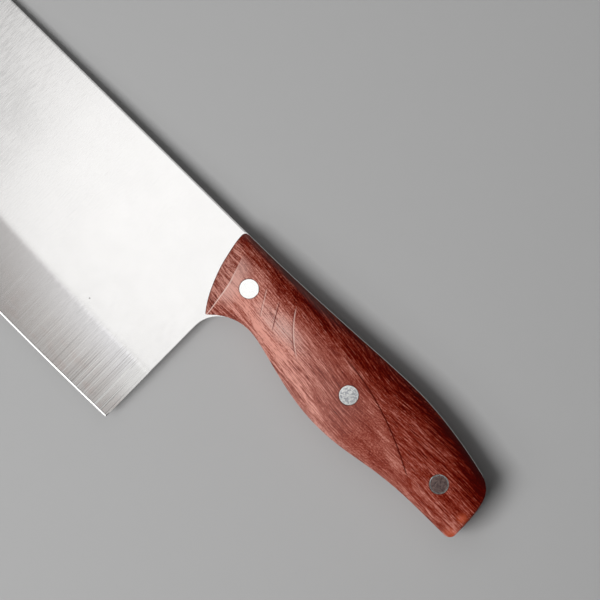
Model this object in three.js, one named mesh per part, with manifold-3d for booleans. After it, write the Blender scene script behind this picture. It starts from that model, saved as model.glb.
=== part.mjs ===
// Full-tang kitchen cleaver: a steel blade whose tang runs through the handle, a pair of hardwood
// scales, and three two-part rivets that squeeze the scales onto the tang.
// Millimetres, +Z up. The knife lies on its right face: +X runs from the blade to the butt, +Y to
// the spine. While it is drawn, x = 0 is the front of the handle, y = 0 the spine of the blade and
// z = 0 the middle of the steel; at the end the origin moves under the middle of the whole knife.

import * as THREE from "three";
import { mergeVertices } from "three/addons/utils/BufferGeometryUtils.js";
import Module from "manifold-3d";

// Blade
const BLADE_LENGTH = 178; // tip to the front of the handle, along the spine
const BLADE_WIDTH = 81.7; // spine to the lowest point of the edge
const BLADE_THICKNESS = 2.4;
const HEEL_SETBACK = 10.8; // how far the heel reaches back under the handle
const EDGE_RADIUS = 1500; // slight belly of the cutting edge
const EDGE_LOW_FORWARD = 20; // lowest point of the edge, ahead of the handle
const EDGE_THICKNESS = 0.1;
const HONE_WIDTH = 0.8; // narrow bright bevel along the edge
const HONE_THICKNESS = 0.7; // steel left at the top of that bevel
const GRIND_WIDTH_HEEL = 22.2; // wide ground bevel, edge to flat, at the heel
const GRIND_WIDTH_TIP = 27; // the same at the tip
const SPINE_CHAMFER = 0.5;
const TIP_SPINE_RADIUS = 6;
const TIP_TOE_RADIUS = 3;
const NECK_DEPTH = 36.4; // spine to where the heel starts to curve into the tang
const NECK_EASE_HEEL = 6.5; // reach of that curve along the heel
const NECK_EASE_GROOVE = 9; // and along the tang

// Tang outline, which is the handle's outline: places along the handle and depths below the spine
const HANDLE_LENGTH = 127.7;
const GROOVE_X = 25.5; // forefinger groove
const GROOVE_DEPTH = 24.1;
const GROOVE_EASE = 8; // half the length over which the underside stays level there
const SWELL_X = 66; // palm swell
const SWELL_DEPTH = 31.4;
const SWELL_EASE = 17;
const WAIST_FROM_BUTT = 15.7; // waist ahead of the butt
const WAIST_DEPTH = 27.1;
const WAIST_EASE = 24;
const BUTT_CORNER = 2.6; // radius of the lower corner of the butt
const BUTT_BULGE = 12; // how far up the butt stays upright
const SHOULDER_FROM_BUTT = 8.6; // where the spine side turns down to the butt
const SHOULDER_DEPTH = 2.3;
const SHOULDER_SLOPE = 14; // degrees below level
const SHOULDER_EASE_BUTT = 8.5;
const SHOULDER_EASE_HUMP = 14;
const HUMP_FROM_BUTT = 45.7; // highest point of the spine side
const HUMP_RISE = 2.7;
const HUMP_EASE_BUTT = 10;
const HUMP_EASE_FRONT = 16;
const FRONT_EASE = 38; // how far the spine side runs level behind the blade

// Scales
const TANG_PROUD = 0.12; // steel standing out round the wood
const CROWN_FRONT = 8.2; // height of a scale above the tang at the front,
const CROWN_SWELL = 8.9; // at the palm swell,
const CROWN_BUTT = 8.5; // and at the butt
const SPINE_ROUNDNESS = 2.1; // 2 is an ellipse, more is squarer
const BELLY_ROUNDNESS = 2.5;
const FLARE_ROUNDNESS = 1.36; // thin flare to the lower front corner
const FLARE_LENGTH = 22; // over which the flare fills out behind that corner
const SIDE_TRIM = 0.5; // shaved off the sides to leave an upright wall at the tang
const BUTT_ROUND = 2.4; // rounded rim at the butt
const CROWN_MARGIN = 0.1; // rim of the butt above the highest crown
const NOSE_RADIUS = 47; // front face of the scales, an arc seen from above
const NOSE_DROP = 1.4; // centre of that arc below the spine
const NOSE_LEAN = 35.4; // degrees that the front face leans back
const NOSE_CORNER = 0.9; // rounding where the front face meets the spine side
const BEAK_DEPTH = 31; // lower front corner of the wood below the spine
const BEAK_CORNER = 0.7; // rounding of that corner
const BEAK_EASE = 5;
const BEAK_SLOPE = 46; // degrees, underside just behind that corner
const BEAK_EASE_GROOVE = 7;

// Rivets: a socket half with a tubular shank and a pin half that is pressed into it
const RIVET_DEPTH = 15.6; // row of rivets below the spine
const FRONT_RIVET_RISE = 2; // the front one sits a little nearer the spine
const FRONT_RIVET_X = 15.2;
const MIDDLE_RIVET_X = 66.4;
const REAR_RIVET_FROM_BUTT = 16.8;
const HEAD_DIAMETER = 7;
const HEAD_DEPTH = 2.6; // head's seat below the crown of the scale
const SHANK_DIAMETER = 4.8;
const PIN_DIAMETER = 3.2;
const SOCKET_FLOOR = 1.6; // steel left between the bore and the seat of the socket's head
const SHANK_GAP = 0.3; // free end of the shank to the pin's head
const PIN_GAP = 0.5; // free end of the pin to the floor of the bore
const RIVET_CLEARANCE = 0.05; // all round, in the wood, the tang and the socket

// Facets
const OUTLINE_STEPS = 14;
const ROUND_STEPS = 2 * OUTLINE_STEPS;
const CROWN_STATIONS = 46;
const CROWN_STEPS = 20;
const EDGE_STATIONS = 24;
const RIM_STEPS = 4;
const CUT_MARGIN = 4; // how far a cutting solid runs past what it cuts

const HALF_THICKNESS = BLADE_THICKNESS / 2;
const EDGE_CENTRE = new THREE.Vector2(-EDGE_LOW_FORWARD, EDGE_RADIUS - BLADE_WIDTH);
const WAIST_X = HANDLE_LENGTH - WAIST_FROM_BUTT;
const HUMP_X = HANDLE_LENGTH - HUMP_FROM_BUTT;
const SHOULDER_X = HANDLE_LENGTH - SHOULDER_FROM_BUTT;
const NOSE_CENTRE = new THREE.Vector2(NOSE_RADIUS, -NOSE_DROP);

const STEEL = { color: 0xcfcfcc, roughness: 0.34, metalness: 1 };
const WOOD = { color: 0x8c3d33, roughness: 0.52, metalness: 0 };
const RIVET_STEEL = { color: 0xb4b4b0, roughness: 0.28, metalness: 1 };

const wasm = await Module();
wasm.setup();

const radians = THREE.MathUtils.degToRad;

// Solid for joining and cutting, from a closed geometry.
function solid(geometry) {
  const bare = geometry.clone();
  bare.deleteAttribute("normal");
  bare.deleteAttribute("uv");
  const merged = mergeVertices(bare);
  const vertProperties = new Float32Array(merged.attributes.position.array);
  const triVerts = new Uint32Array(merged.index.array);
  return new wasm.Manifold(new wasm.Mesh({ numProp: 3, vertProperties, triVerts }));
}

// Geometry of a finished solid. Mirrored, it is the same piece for the other side of the knife.
function surface(body, mirrored = false) {
  const { vertProperties, triVerts } = body.getMesh();
  const geometry = new THREE.BufferGeometry();
  geometry.setAttribute("position", new THREE.Float32BufferAttribute(vertProperties, 3));
  geometry.setIndex(Array.from(triVerts));
  if (mirrored) {
    geometry.scale(1, 1, -1);
    geometry.setIndex(Array.from(triVerts).reverse());
  }
  return geometry;
}

// Closed solid through a row of convex rings, each with the same number of points, going along +X.
// Seen from +X a ring runs counter-clockwise.
function loft(rings) {
  const count = rings[0].length;
  const last = (rings.length - 1) * count;
  const index = [];
  for (let start = 0; start < last; start += count) {
    for (let i = 0; i < count; i += 1) {
      const a = start + i;
      const b = start + ((i + 1) % count);
      index.push(a, b, b + count, a, b + count, a + count);
    }
  }
  for (let i = 1; i + 1 < count; i += 1) {
    index.push(0, i + 1, i, last, last + i, last + i + 1);
  }
  const geometry = new THREE.BufferGeometry().setFromPoints(rings.flat());
  geometry.setIndex(index);
  return geometry;
}

// Upright round bar between two heights.
function bar(diameter, x, y, low, high) {
  const geometry = new THREE.CylinderGeometry(diameter / 2, diameter / 2, high - low, ROUND_STEPS);
  geometry.rotateX(Math.PI / 2);
  geometry.translate(x, y, (low + high) / 2);
  return solid(geometry);
}

// Evenly spaced values from first to last.
function spaced(first, last, steps) {
  return Array.from({ length: steps + 1 }, (_, i) => first + ((last - first) * i) / steps);
}

// Blade

// Height of the cutting edge at a place along the blade.
function edgeAt(x) {
  const along = x - EDGE_CENTRE.x;
  return EDGE_CENTRE.y - Math.sqrt(EDGE_RADIUS ** 2 - along ** 2);
}

// Underside, butt and spine side of the handle, drawn from the finger groove round to the front.
// The tang has no inset; the wood is drawn a little inside it.
function traceHandle(path, inset) {
  const groove = inset - GROOVE_DEPTH;
  const swell = inset - SWELL_DEPTH;
  const waist = inset - WAIST_DEPTH;
  const butt = HANDLE_LENGTH - inset;
  const shoulder = new THREE.Vector2(SHOULDER_X, -SHOULDER_DEPTH - inset);
  const fall = new THREE.Vector2(1, 0).rotateAround(new THREE.Vector2(), -radians(SHOULDER_SLOPE));
  const buttHandle = shoulder.clone().addScaledVector(fall, SHOULDER_EASE_BUTT);
  const humpHandle = shoulder.clone().addScaledVector(fall, -SHOULDER_EASE_HUMP);
  const hump = HUMP_RISE - inset;
  path.bezierCurveTo(GROOVE_X + GROOVE_EASE, groove, SWELL_X - SWELL_EASE, swell, SWELL_X, swell);
  path.bezierCurveTo(SWELL_X + SWELL_EASE, swell, WAIST_X - WAIST_EASE, waist, WAIST_X, waist);
  path.lineTo(butt - BUTT_CORNER, waist);
  path.absarc(butt - BUTT_CORNER, waist + BUTT_CORNER, BUTT_CORNER, -Math.PI / 2, 0, false);
  const upright = waist + BUTT_CORNER + BUTT_BULGE;
  path.bezierCurveTo(butt, upright, buttHandle.x, buttHandle.y, shoulder.x, shoulder.y);
  path.bezierCurveTo(humpHandle.x, humpHandle.y, HUMP_X + HUMP_EASE_BUTT, hump, HUMP_X, hump);
  path.bezierCurveTo(HUMP_X - HUMP_EASE_FRONT, hump, FRONT_EASE, -inset, 0, -inset);
}

// Flat outline of the blade, from the tip to the line where the handle starts.
function bladeOutline() {
  const tip = -BLADE_LENGTH;
  const toe = new THREE.Vector2(tip + TIP_TOE_RADIUS, 0);
  const inner = EDGE_RADIUS - TIP_TOE_RADIUS;
  toe.y = EDGE_CENTRE.y - Math.sqrt(inner ** 2 - (toe.x - EDGE_CENTRE.x) ** 2);
  const toeAngle = Math.atan2(toe.y - EDGE_CENTRE.y, toe.x - EDGE_CENTRE.x);
  const heelAngle = -Math.acos((HEEL_SETBACK - EDGE_CENTRE.x) / EDGE_RADIUS);
  const shape = new THREE.Shape();
  shape.moveTo(tip, toe.y);
  shape.absarc(toe.x, toe.y, TIP_TOE_RADIUS, -Math.PI, toeAngle, false);
  shape.absarc(EDGE_CENTRE.x, EDGE_CENTRE.y, EDGE_RADIUS, toeAngle, heelAngle, false);
  shape.lineTo(HEEL_SETBACK, -NECK_DEPTH);
  shape.lineTo(0, -NECK_DEPTH);
  shape.lineTo(0, 0);
  shape.lineTo(tip + TIP_SPINE_RADIUS, 0);
  shape.absarc(tip + TIP_SPINE_RADIUS, -TIP_SPINE_RADIUS, TIP_SPINE_RADIUS, Math.PI / 2, Math.PI, false);
  shape.closePath();
  return shape;
}

// Flat outline of the tang, from that line to the butt, with the rivet holes.
function tangOutline(rivets) {
  const neck = NECK_EASE_HEEL - NECK_DEPTH;
  const groove = GROOVE_X - NECK_EASE_GROOVE;
  const shape = new THREE.Shape();
  shape.moveTo(0, -NECK_DEPTH);
  shape.lineTo(HEEL_SETBACK, -NECK_DEPTH);
  shape.bezierCurveTo(HEEL_SETBACK, neck, groove, -GROOVE_DEPTH, GROOVE_X, -GROOVE_DEPTH);
  traceHandle(shape, 0);
  shape.closePath();
  for (const rivet of rivets) {
    const hole = new THREE.Path();
    hole.absarc(rivet.x, rivet.y, SHANK_DIAMETER / 2 + RIVET_CLEARANCE, 0, 2 * Math.PI, true);
    shape.holes.push(hole);
  }
  return shape;
}

// Plate of the blade's thickness.
function plate(outline) {
  const options = { depth: BLADE_THICKNESS, bevelEnabled: false, curveSegments: OUTLINE_STEPS };
  const geometry = new THREE.ExtrudeGeometry(outline, options);
  geometry.translate(0, 0, -HALF_THICKNESS);
  return solid(geometry);
}

// Long wedge whose faces are the ground bevels and, below them, the honed ones. It is thicker than
// the steel above the grind and comes to a point just below the edge.
function grindWedge() {
  const wide = HALF_THICKNESS + CUT_MARGIN;
  const hone = HONE_THICKNESS / 2;
  const honeSlope = (hone - EDGE_THICKNESS / 2) / HONE_WIDTH;
  const first = -BLADE_LENGTH - CUT_MARGIN;
  const stations = spaced(first, HEEL_SETBACK + CUT_MARGIN, EDGE_STATIONS);
  stations.push(HANDLE_LENGTH + CUT_MARGIN);
  return loft(
    stations.map((x) => {
      const edge = edgeAt(x);
      const back = THREE.MathUtils.clamp((HEEL_SETBACK - x) / (HEEL_SETBACK + BLADE_LENGTH), 0, 1);
      const grind = THREE.MathUtils.lerp(GRIND_WIDTH_HEEL, GRIND_WIDTH_TIP, back);
      const slope = (HALF_THICKNESS - hone) / (grind - HONE_WIDTH);
      const top = HUMP_RISE + CUT_MARGIN;
      const full = edge + HONE_WIDTH + (wide - hone) / slope;
      const lip = edge + HONE_WIDTH;
      const point = lip - hone / honeSlope;
      return [
        new THREE.Vector3(x, Math.max(top, full + CUT_MARGIN), -wide),
        new THREE.Vector3(x, Math.max(top, full + CUT_MARGIN), wide),
        new THREE.Vector3(x, full, wide),
        new THREE.Vector3(x, lip, hone),
        new THREE.Vector3(x, point, 0),
        new THREE.Vector3(x, lip, -hone),
        new THREE.Vector3(x, full, -wide),
      ];
    }),
  );
}

// Bar of square section, turned on its corner, that takes the chamfer off one side of the spine.
function spineCutter(side) {
  const length = BLADE_LENGTH + CUT_MARGIN;
  const width = SPINE_CHAMFER * Math.SQRT2;
  const cutter = new THREE.BoxGeometry(length, width, width);
  cutter.rotateX(Math.PI / 4);
  cutter.translate(-length / 2, 0, side * HALF_THICKNESS);
  return solid(cutter);
}

function blade(rivets) {
  const blank = plate(bladeOutline()).add(plate(tangOutline(rivets)));
  const ground = blank.intersect(solid(grindWedge()));
  return ground.subtract(spineCutter(1)).subtract(spineCutter(-1));
}

// Scales

// Height of a scale's crown above the tang at a place along the handle.
function crownAt(x) {
  if (x < SWELL_X) {
    const blend = THREE.MathUtils.smoothstep(x, 0, SWELL_X);
    return THREE.MathUtils.lerp(CROWN_FRONT, CROWN_SWELL, blend);
  }
  const blend = THREE.MathUtils.smoothstep(x, SWELL_X, HANDLE_LENGTH);
  return THREE.MathUtils.lerp(CROWN_SWELL, CROWN_BUTT, blend);
}

// Place where the front face meets the tang, at a height on the knife.
function noseAt(y) {
  return NOSE_CENTRE.x - Math.sqrt(NOSE_RADIUS ** 2 - (y - NOSE_CENTRE.y) ** 2);
}

// Point on the straight start of the wood's underside, this far behind its lower front corner.
function alongBeak(distance) {
  const rise = new THREE.Vector2(1, 0).rotateAround(new THREE.Vector2(), radians(BEAK_SLOPE));
  return new THREE.Vector2(noseAt(-BEAK_DEPTH), -BEAK_DEPTH).addScaledVector(rise, distance);
}

// Outline of the wood, run on past the front face, which is cut afterwards.
function woodOutline() {
  const groove = TANG_PROUD - GROOVE_DEPTH;
  const beak = alongBeak(0);
  const ahead = alongBeak(-CUT_MARGIN);
  const handle = alongBeak(BEAK_EASE);
  const shape = new THREE.Shape();
  shape.moveTo(-CUT_MARGIN, -TANG_PROUD);
  shape.lineTo(-CUT_MARGIN, ahead.y);
  shape.lineTo(ahead.x, ahead.y);
  shape.lineTo(beak.x, beak.y);
  shape.bezierCurveTo(handle.x, handle.y, GROOVE_X - BEAK_EASE_GROOVE, groove, GROOVE_X, groove);
  traceHandle(shape, TANG_PROUD);
  shape.closePath();
  return shape;
}

// Lowest and highest point of an outline at a place along the handle.
function spanAt(points, x) {
  const heights = points.flatMap((a, i) => {
    const b = points[(i + 1) % points.length];
    if ((a.x - x) * (b.x - x) > 0 || a.x === b.x) {
      return [];
    }
    return [THREE.MathUtils.lerp(a.y, b.y, (x - a.x) / (b.x - a.x))];
  });
  return [Math.min(...heights), Math.max(...heights)];
}

// Rounded crown of a scale: sections across the handle, lofted from the front to past the butt.
function crown(outline) {
  const points = outline.getPoints(OUTLINE_STEPS);
  const beak = noseAt(-BEAK_DEPTH);
  const stations = spaced(-CUT_MARGIN / 2, HANDLE_LENGTH + CUT_MARGIN, CROWN_STATIONS);
  return loft(
    stations.map((x) => {
      const [low, high] = spanAt(points, Math.min(x, SHOULDER_X));
      const middle = (low + high) / 2;
      const half = (high - low) / 2 + SIDE_TRIM;
      const filled = THREE.MathUtils.smoothstep(x, beak, beak + FLARE_LENGTH);
      const belly = THREE.MathUtils.lerp(FLARE_ROUNDNESS, BELLY_ROUNDNESS, filled);
      return spaced(0, Math.PI, CROWN_STEPS).map((angle) => {
        const roundness = angle < Math.PI / 2 ? SPINE_ROUNDNESS : belly;
        const out = Math.abs(Math.cos(angle)) ** (2 / roundness) * Math.sign(Math.cos(angle));
        const up = Math.abs(Math.sin(angle)) ** (2 / roundness);
        return new THREE.Vector3(x, middle + half * out, HALF_THICKNESS + crownAt(x) * up);
      });
    }),
  );
}

// Slab of wood with the handle's outline and a rounded rim, which shows at the butt.
function woodSlab(outline) {
  const rim = Math.min(BUTT_ROUND, BUTT_CORNER);
  const height = Math.max(CROWN_FRONT, CROWN_SWELL, CROWN_BUTT) + CROWN_MARGIN;
  const slab = new THREE.ExtrudeGeometry(outline, {
    depth: CUT_MARGIN + height - rim,
    bevelThickness: rim,
    bevelSize: rim,
    bevelOffset: -rim,
    bevelSegments: RIM_STEPS,
    curveSegments: OUTLINE_STEPS,
  });
  slab.translate(0, 0, HALF_THICKNESS - CUT_MARGIN);
  return slab;
}

// Angle on the front face's arc at a height on the knife.
function noseAngle(y) {
  return Math.PI - Math.asin((y - NOSE_CENTRE.y) / NOSE_RADIUS);
}

// What is cut away ahead of the leaning front face and outside its two rounded corners.
function noseCutter() {
  const high = Math.max(CROWN_FRONT, CROWN_SWELL) + CUT_MARGIN;
  const front = -high - CUT_MARGIN;
  const below = -BEAK_DEPTH - CUT_MARGIN;
  const beak = alongBeak(0);
  const behind = alongBeak(BEAK_CORNER);
  const low = BEAK_CORNER - BEAK_DEPTH;
  const top = -TANG_PROUD;
  const back = noseAt(top) + NOSE_CORNER;
  const arcEnds = [noseAngle(low), noseAngle(top - NOSE_CORNER)];
  const shape = new THREE.Shape();
  shape.moveTo(front, CUT_MARGIN);
  shape.lineTo(front, below);
  shape.lineTo(behind.x, below);
  shape.lineTo(behind.x, behind.y);
  shape.quadraticCurveTo(beak.x, beak.y, noseAt(low), low);
  shape.absarc(NOSE_CENTRE.x, NOSE_CENTRE.y, NOSE_RADIUS, ...arcEnds, true);
  shape.quadraticCurveTo(noseAt(top), top, back, top);
  shape.lineTo(back, CUT_MARGIN);
  shape.closePath();
  const options = { depth: high + CUT_MARGIN, bevelEnabled: false, curveSegments: OUTLINE_STEPS };
  const cutter = new THREE.ExtrudeGeometry(shape, options);
  cutter.translate(0, 0, -CUT_MARGIN);
  cutter.applyMatrix4(new THREE.Matrix4().makeShear(0, 0, 0, 0, Math.tan(radians(NOSE_LEAN)), 0));
  cutter.translate(0, 0, HALF_THICKNESS);
  return cutter;
}

// Left scale before it is drilled.
function scaleBody() {
  const outline = woodOutline();
  const shaped = solid(crown(outline)).intersect(solid(woodSlab(outline)));
  return shaped.subtract(solid(noseCutter()));
}

// Rivets

// Height of the seat under a rivet's head, above the middle of the steel.
function seatAt(rivet) {
  return HALF_THICKNESS + crownAt(rivet.x) - HEAD_DEPTH;
}

function rivetHoles(rivet) {
  const bore = SHANK_DIAMETER + 2 * RIVET_CLEARANCE;
  const recess = HEAD_DIAMETER + 2 * RIVET_CLEARANCE;
  const seat = seatAt(rivet);
  const shank = bar(bore, rivet.x, rivet.y, HALF_THICKNESS - CUT_MARGIN, seat + CUT_MARGIN);
  return shank.add(bar(recess, rivet.x, rivet.y, seat, seat + HEAD_DEPTH + CUT_MARGIN));
}

// Head that is ground flush with the wood round it.
function rivetHead(rivet, wood) {
  const seat = seatAt(rivet);
  return bar(HEAD_DIAMETER, rivet.x, rivet.y, seat, seat + HEAD_DEPTH + CUT_MARGIN).intersect(wood);
}

// Half with the tubular shank, headed on the left scale.
function rivetSocket(rivet, wood) {
  const seat = seatAt(rivet);
  const open = SHANK_GAP - seat;
  const bore = PIN_DIAMETER + 2 * RIVET_CLEARANCE;
  const shank = bar(SHANK_DIAMETER, rivet.x, rivet.y, open, seat + HEAD_DEPTH / 2);
  const hollow = bar(bore, rivet.x, rivet.y, open - CUT_MARGIN, seat - SOCKET_FLOOR);
  return rivetHead(rivet, wood).add(shank).subtract(hollow);
}

// Half with the solid pin, drawn with its head up and mirrored to the right scale afterwards.
function rivetPin(rivet, wood) {
  const seat = seatAt(rivet);
  const end = SOCKET_FLOOR + PIN_GAP - seat;
  const pin = bar(PIN_DIAMETER, rivet.x, rivet.y, end, seat + HEAD_DEPTH / 2);
  return rivetHead(rivet, wood).add(pin);
}

// Assembly

const rivets = [
  { name: "front", x: FRONT_RIVET_X, y: FRONT_RIVET_RISE - RIVET_DEPTH },
  { name: "middle", x: MIDDLE_RIVET_X, y: -RIVET_DEPTH },
  { name: "rear", x: HANDLE_LENGTH - REAR_RIVET_FROM_BUTT, y: -RIVET_DEPTH },
];

const cleaver = new THREE.Group();

function place(name, geometry, finish) {
  const mesh = new THREE.Mesh(geometry, new THREE.MeshStandardMaterial({ ...finish, flatShading: true }));
  mesh.name = name;
  cleaver.add(mesh);
}

const wood = scaleBody();
const drilled = rivets.reduce((body, rivet) => body.subtract(rivetHoles(rivet)), wood);

place("blade", surface(blade(rivets)), STEEL);
place("left_scale", surface(drilled), WOOD);
place("right_scale", surface(drilled, true), WOOD);
for (const rivet of rivets) {
  place(`${rivet.name}_rivet_socket`, surface(rivetSocket(rivet, wood)), RIVET_STEEL);
  place(`${rivet.name}_rivet_pin`, surface(rivetPin(rivet, wood), true), RIVET_STEEL);
}

const box = new THREE.Box3().setFromObject(cleaver);
const middle = box.getCenter(new THREE.Vector3());
cleaver.position.set(-middle.x, -middle.y, -box.min.z);

export default cleaver;
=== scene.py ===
import math
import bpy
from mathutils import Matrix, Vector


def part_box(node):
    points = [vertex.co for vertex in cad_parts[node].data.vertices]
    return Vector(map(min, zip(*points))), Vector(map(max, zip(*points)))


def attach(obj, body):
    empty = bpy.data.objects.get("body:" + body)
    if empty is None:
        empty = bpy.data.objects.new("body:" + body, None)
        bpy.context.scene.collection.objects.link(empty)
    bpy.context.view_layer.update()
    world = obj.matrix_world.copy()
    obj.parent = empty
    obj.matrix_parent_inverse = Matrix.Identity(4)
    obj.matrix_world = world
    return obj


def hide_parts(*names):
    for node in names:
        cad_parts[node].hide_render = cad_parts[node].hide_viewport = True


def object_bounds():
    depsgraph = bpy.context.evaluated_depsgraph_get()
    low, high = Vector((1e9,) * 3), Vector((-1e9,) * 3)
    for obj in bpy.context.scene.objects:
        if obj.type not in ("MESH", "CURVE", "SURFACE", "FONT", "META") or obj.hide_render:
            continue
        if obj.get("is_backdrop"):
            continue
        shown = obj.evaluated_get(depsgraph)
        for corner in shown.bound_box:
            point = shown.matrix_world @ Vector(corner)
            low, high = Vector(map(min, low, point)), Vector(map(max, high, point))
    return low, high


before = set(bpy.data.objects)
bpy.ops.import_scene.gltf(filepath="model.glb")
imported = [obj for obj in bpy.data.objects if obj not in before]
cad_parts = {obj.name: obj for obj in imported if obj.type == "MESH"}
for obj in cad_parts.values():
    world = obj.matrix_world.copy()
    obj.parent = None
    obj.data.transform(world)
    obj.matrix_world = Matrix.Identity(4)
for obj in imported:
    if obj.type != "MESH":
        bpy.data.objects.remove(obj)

from types import SimpleNamespace

import bpy
import numpy as np
from bpy.props import FloatProperty, FloatVectorProperty, IntProperty, PointerProperty
from mathutils import Matrix, Vector
from mathutils.geometry import delaunay_2d_cdt

bl_info = {
    "name": "Riveted Cleaver",
    "version": (1, 0, 0),
    "blender": (4, 5, 0),
    "location": "View3D > Sidebar > Cleaver",
    "description": "Dresses a full-tang kitchen cleaver: ground blade, hardwood scales and flush rivets",
    "category": "Object",
}

# Everything is drawn in metres from the handle's front (x = 0), the blade's spine (y = 0) and the
# middle of the steel (z = 0), and moved to the frame's own place when it becomes a mesh.
MM = 0.001
HUMP_RISE = 2.7 * MM
CAD_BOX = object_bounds()
BLADE_LOW, BLADE_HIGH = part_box("blade")
SCALE_LOW, SCALE_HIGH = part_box("left_scale")
ORIGIN = Vector((SCALE_LOW.x, BLADE_HIGH.y - HUMP_RISE, (BLADE_LOW.z + BLADE_HIGH.z) / 2))
HALF_STEEL = (BLADE_HIGH.z - BLADE_LOW.z) / 2
BLADE_LENGTH = ORIGIN.x - BLADE_LOW.x
HANDLE_LENGTH = BLADE_HIGH.x - ORIGIN.x
CROWN_HEIGHT = SCALE_HIGH.z - ORIGIN.z - HALF_STEEL
RIVET_BOXES = {name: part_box(f"{name}_rivet_socket") for name in ("front", "middle", "rear")}
RIVET_PLACES = {name: (low + high) / 2 - ORIGIN for name, (low, high) in RIVET_BOXES.items()}
HEAD_RADIUS = (RIVET_BOXES["front"][1].x - RIVET_BOXES["front"][0].x) / 2

# Edges that turn by more than these degrees look sharp
STEEL_SHARP, WOOD_SHARP, RIVET_SHARP = 30, 40, 50


# Settings


def length(name, description, millimetres):
    return FloatProperty(
        name=name, description=description, default=millimetres * MM, unit="LENGTH", precision=5, step=0.01
    )


def number(name, description, value):
    return FloatProperty(name=name, description=description, default=value, precision=3)


def angle(name, description, degrees):
    return FloatProperty(
        name=name, description=description, default=math.radians(degrees), subtype="ANGLE"
    )


def colour(name, description, *channels):
    return FloatVectorProperty(
        name=name, description=description, default=channels, subtype="COLOR", size=3, min=0, max=1
    )


class CLEAVER_PG_blade(bpy.types.PropertyGroup):
    """Sizes of the blade and its tang"""

    width: length("Width", "Spine to the lowest point of the edge", 81.695)
    heel: length("Heel", "How far the heel reaches back under the handle", 10.8)
    edge_radius: length("Edge radius", "Slight belly of the cutting edge", 1500)
    edge_low: length("Edge low point", "Lowest point of the edge ahead of the handle", 20)
    edge_thickness: length("Edge thickness", "Steel left at the cutting edge", 0.1)
    hone_width: length("Hone width", "Narrow bright bevel along the edge", 0.55)
    hone_thickness: length("Hone thickness", "Steel at the top of the hone", 0.51)
    grind_heel: length("Grind at heel", "Width of the ground bevel at the heel", 22.2)
    grind_tip: length("Grind at tip", "Width of the ground bevel at the tip", 27)
    grind_blend: length("Grind blend", "Thickness over which flat and bevel run together", 0.07)
    hone_blend: length("Hone blend", "Thickness over which bevel and hone run together", 0.02)
    tip_spine: length("Tip corner", "Radius between the spine and the tip", 6)
    tip_toe: length("Toe corner", "Radius between the tip and the edge", 3)
    neck_depth: length("Neck depth", "Spine to where the heel curves into the tang", 36.4)
    neck_heel: length("Neck ease, heel", "Reach of that curve along the heel", 6.5)
    neck_groove: length("Neck ease, tang", "Reach of that curve along the tang", 9)
    spine_round: length("Spine rounding", "Softened edges of the spine and tip", 0.65)
    plain_round: length("Edge rounding", "Softened edges of heel, neck and tang", 0.16)
    spacing: length("Point spacing", "Distance between points of the outline", 1)


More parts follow.
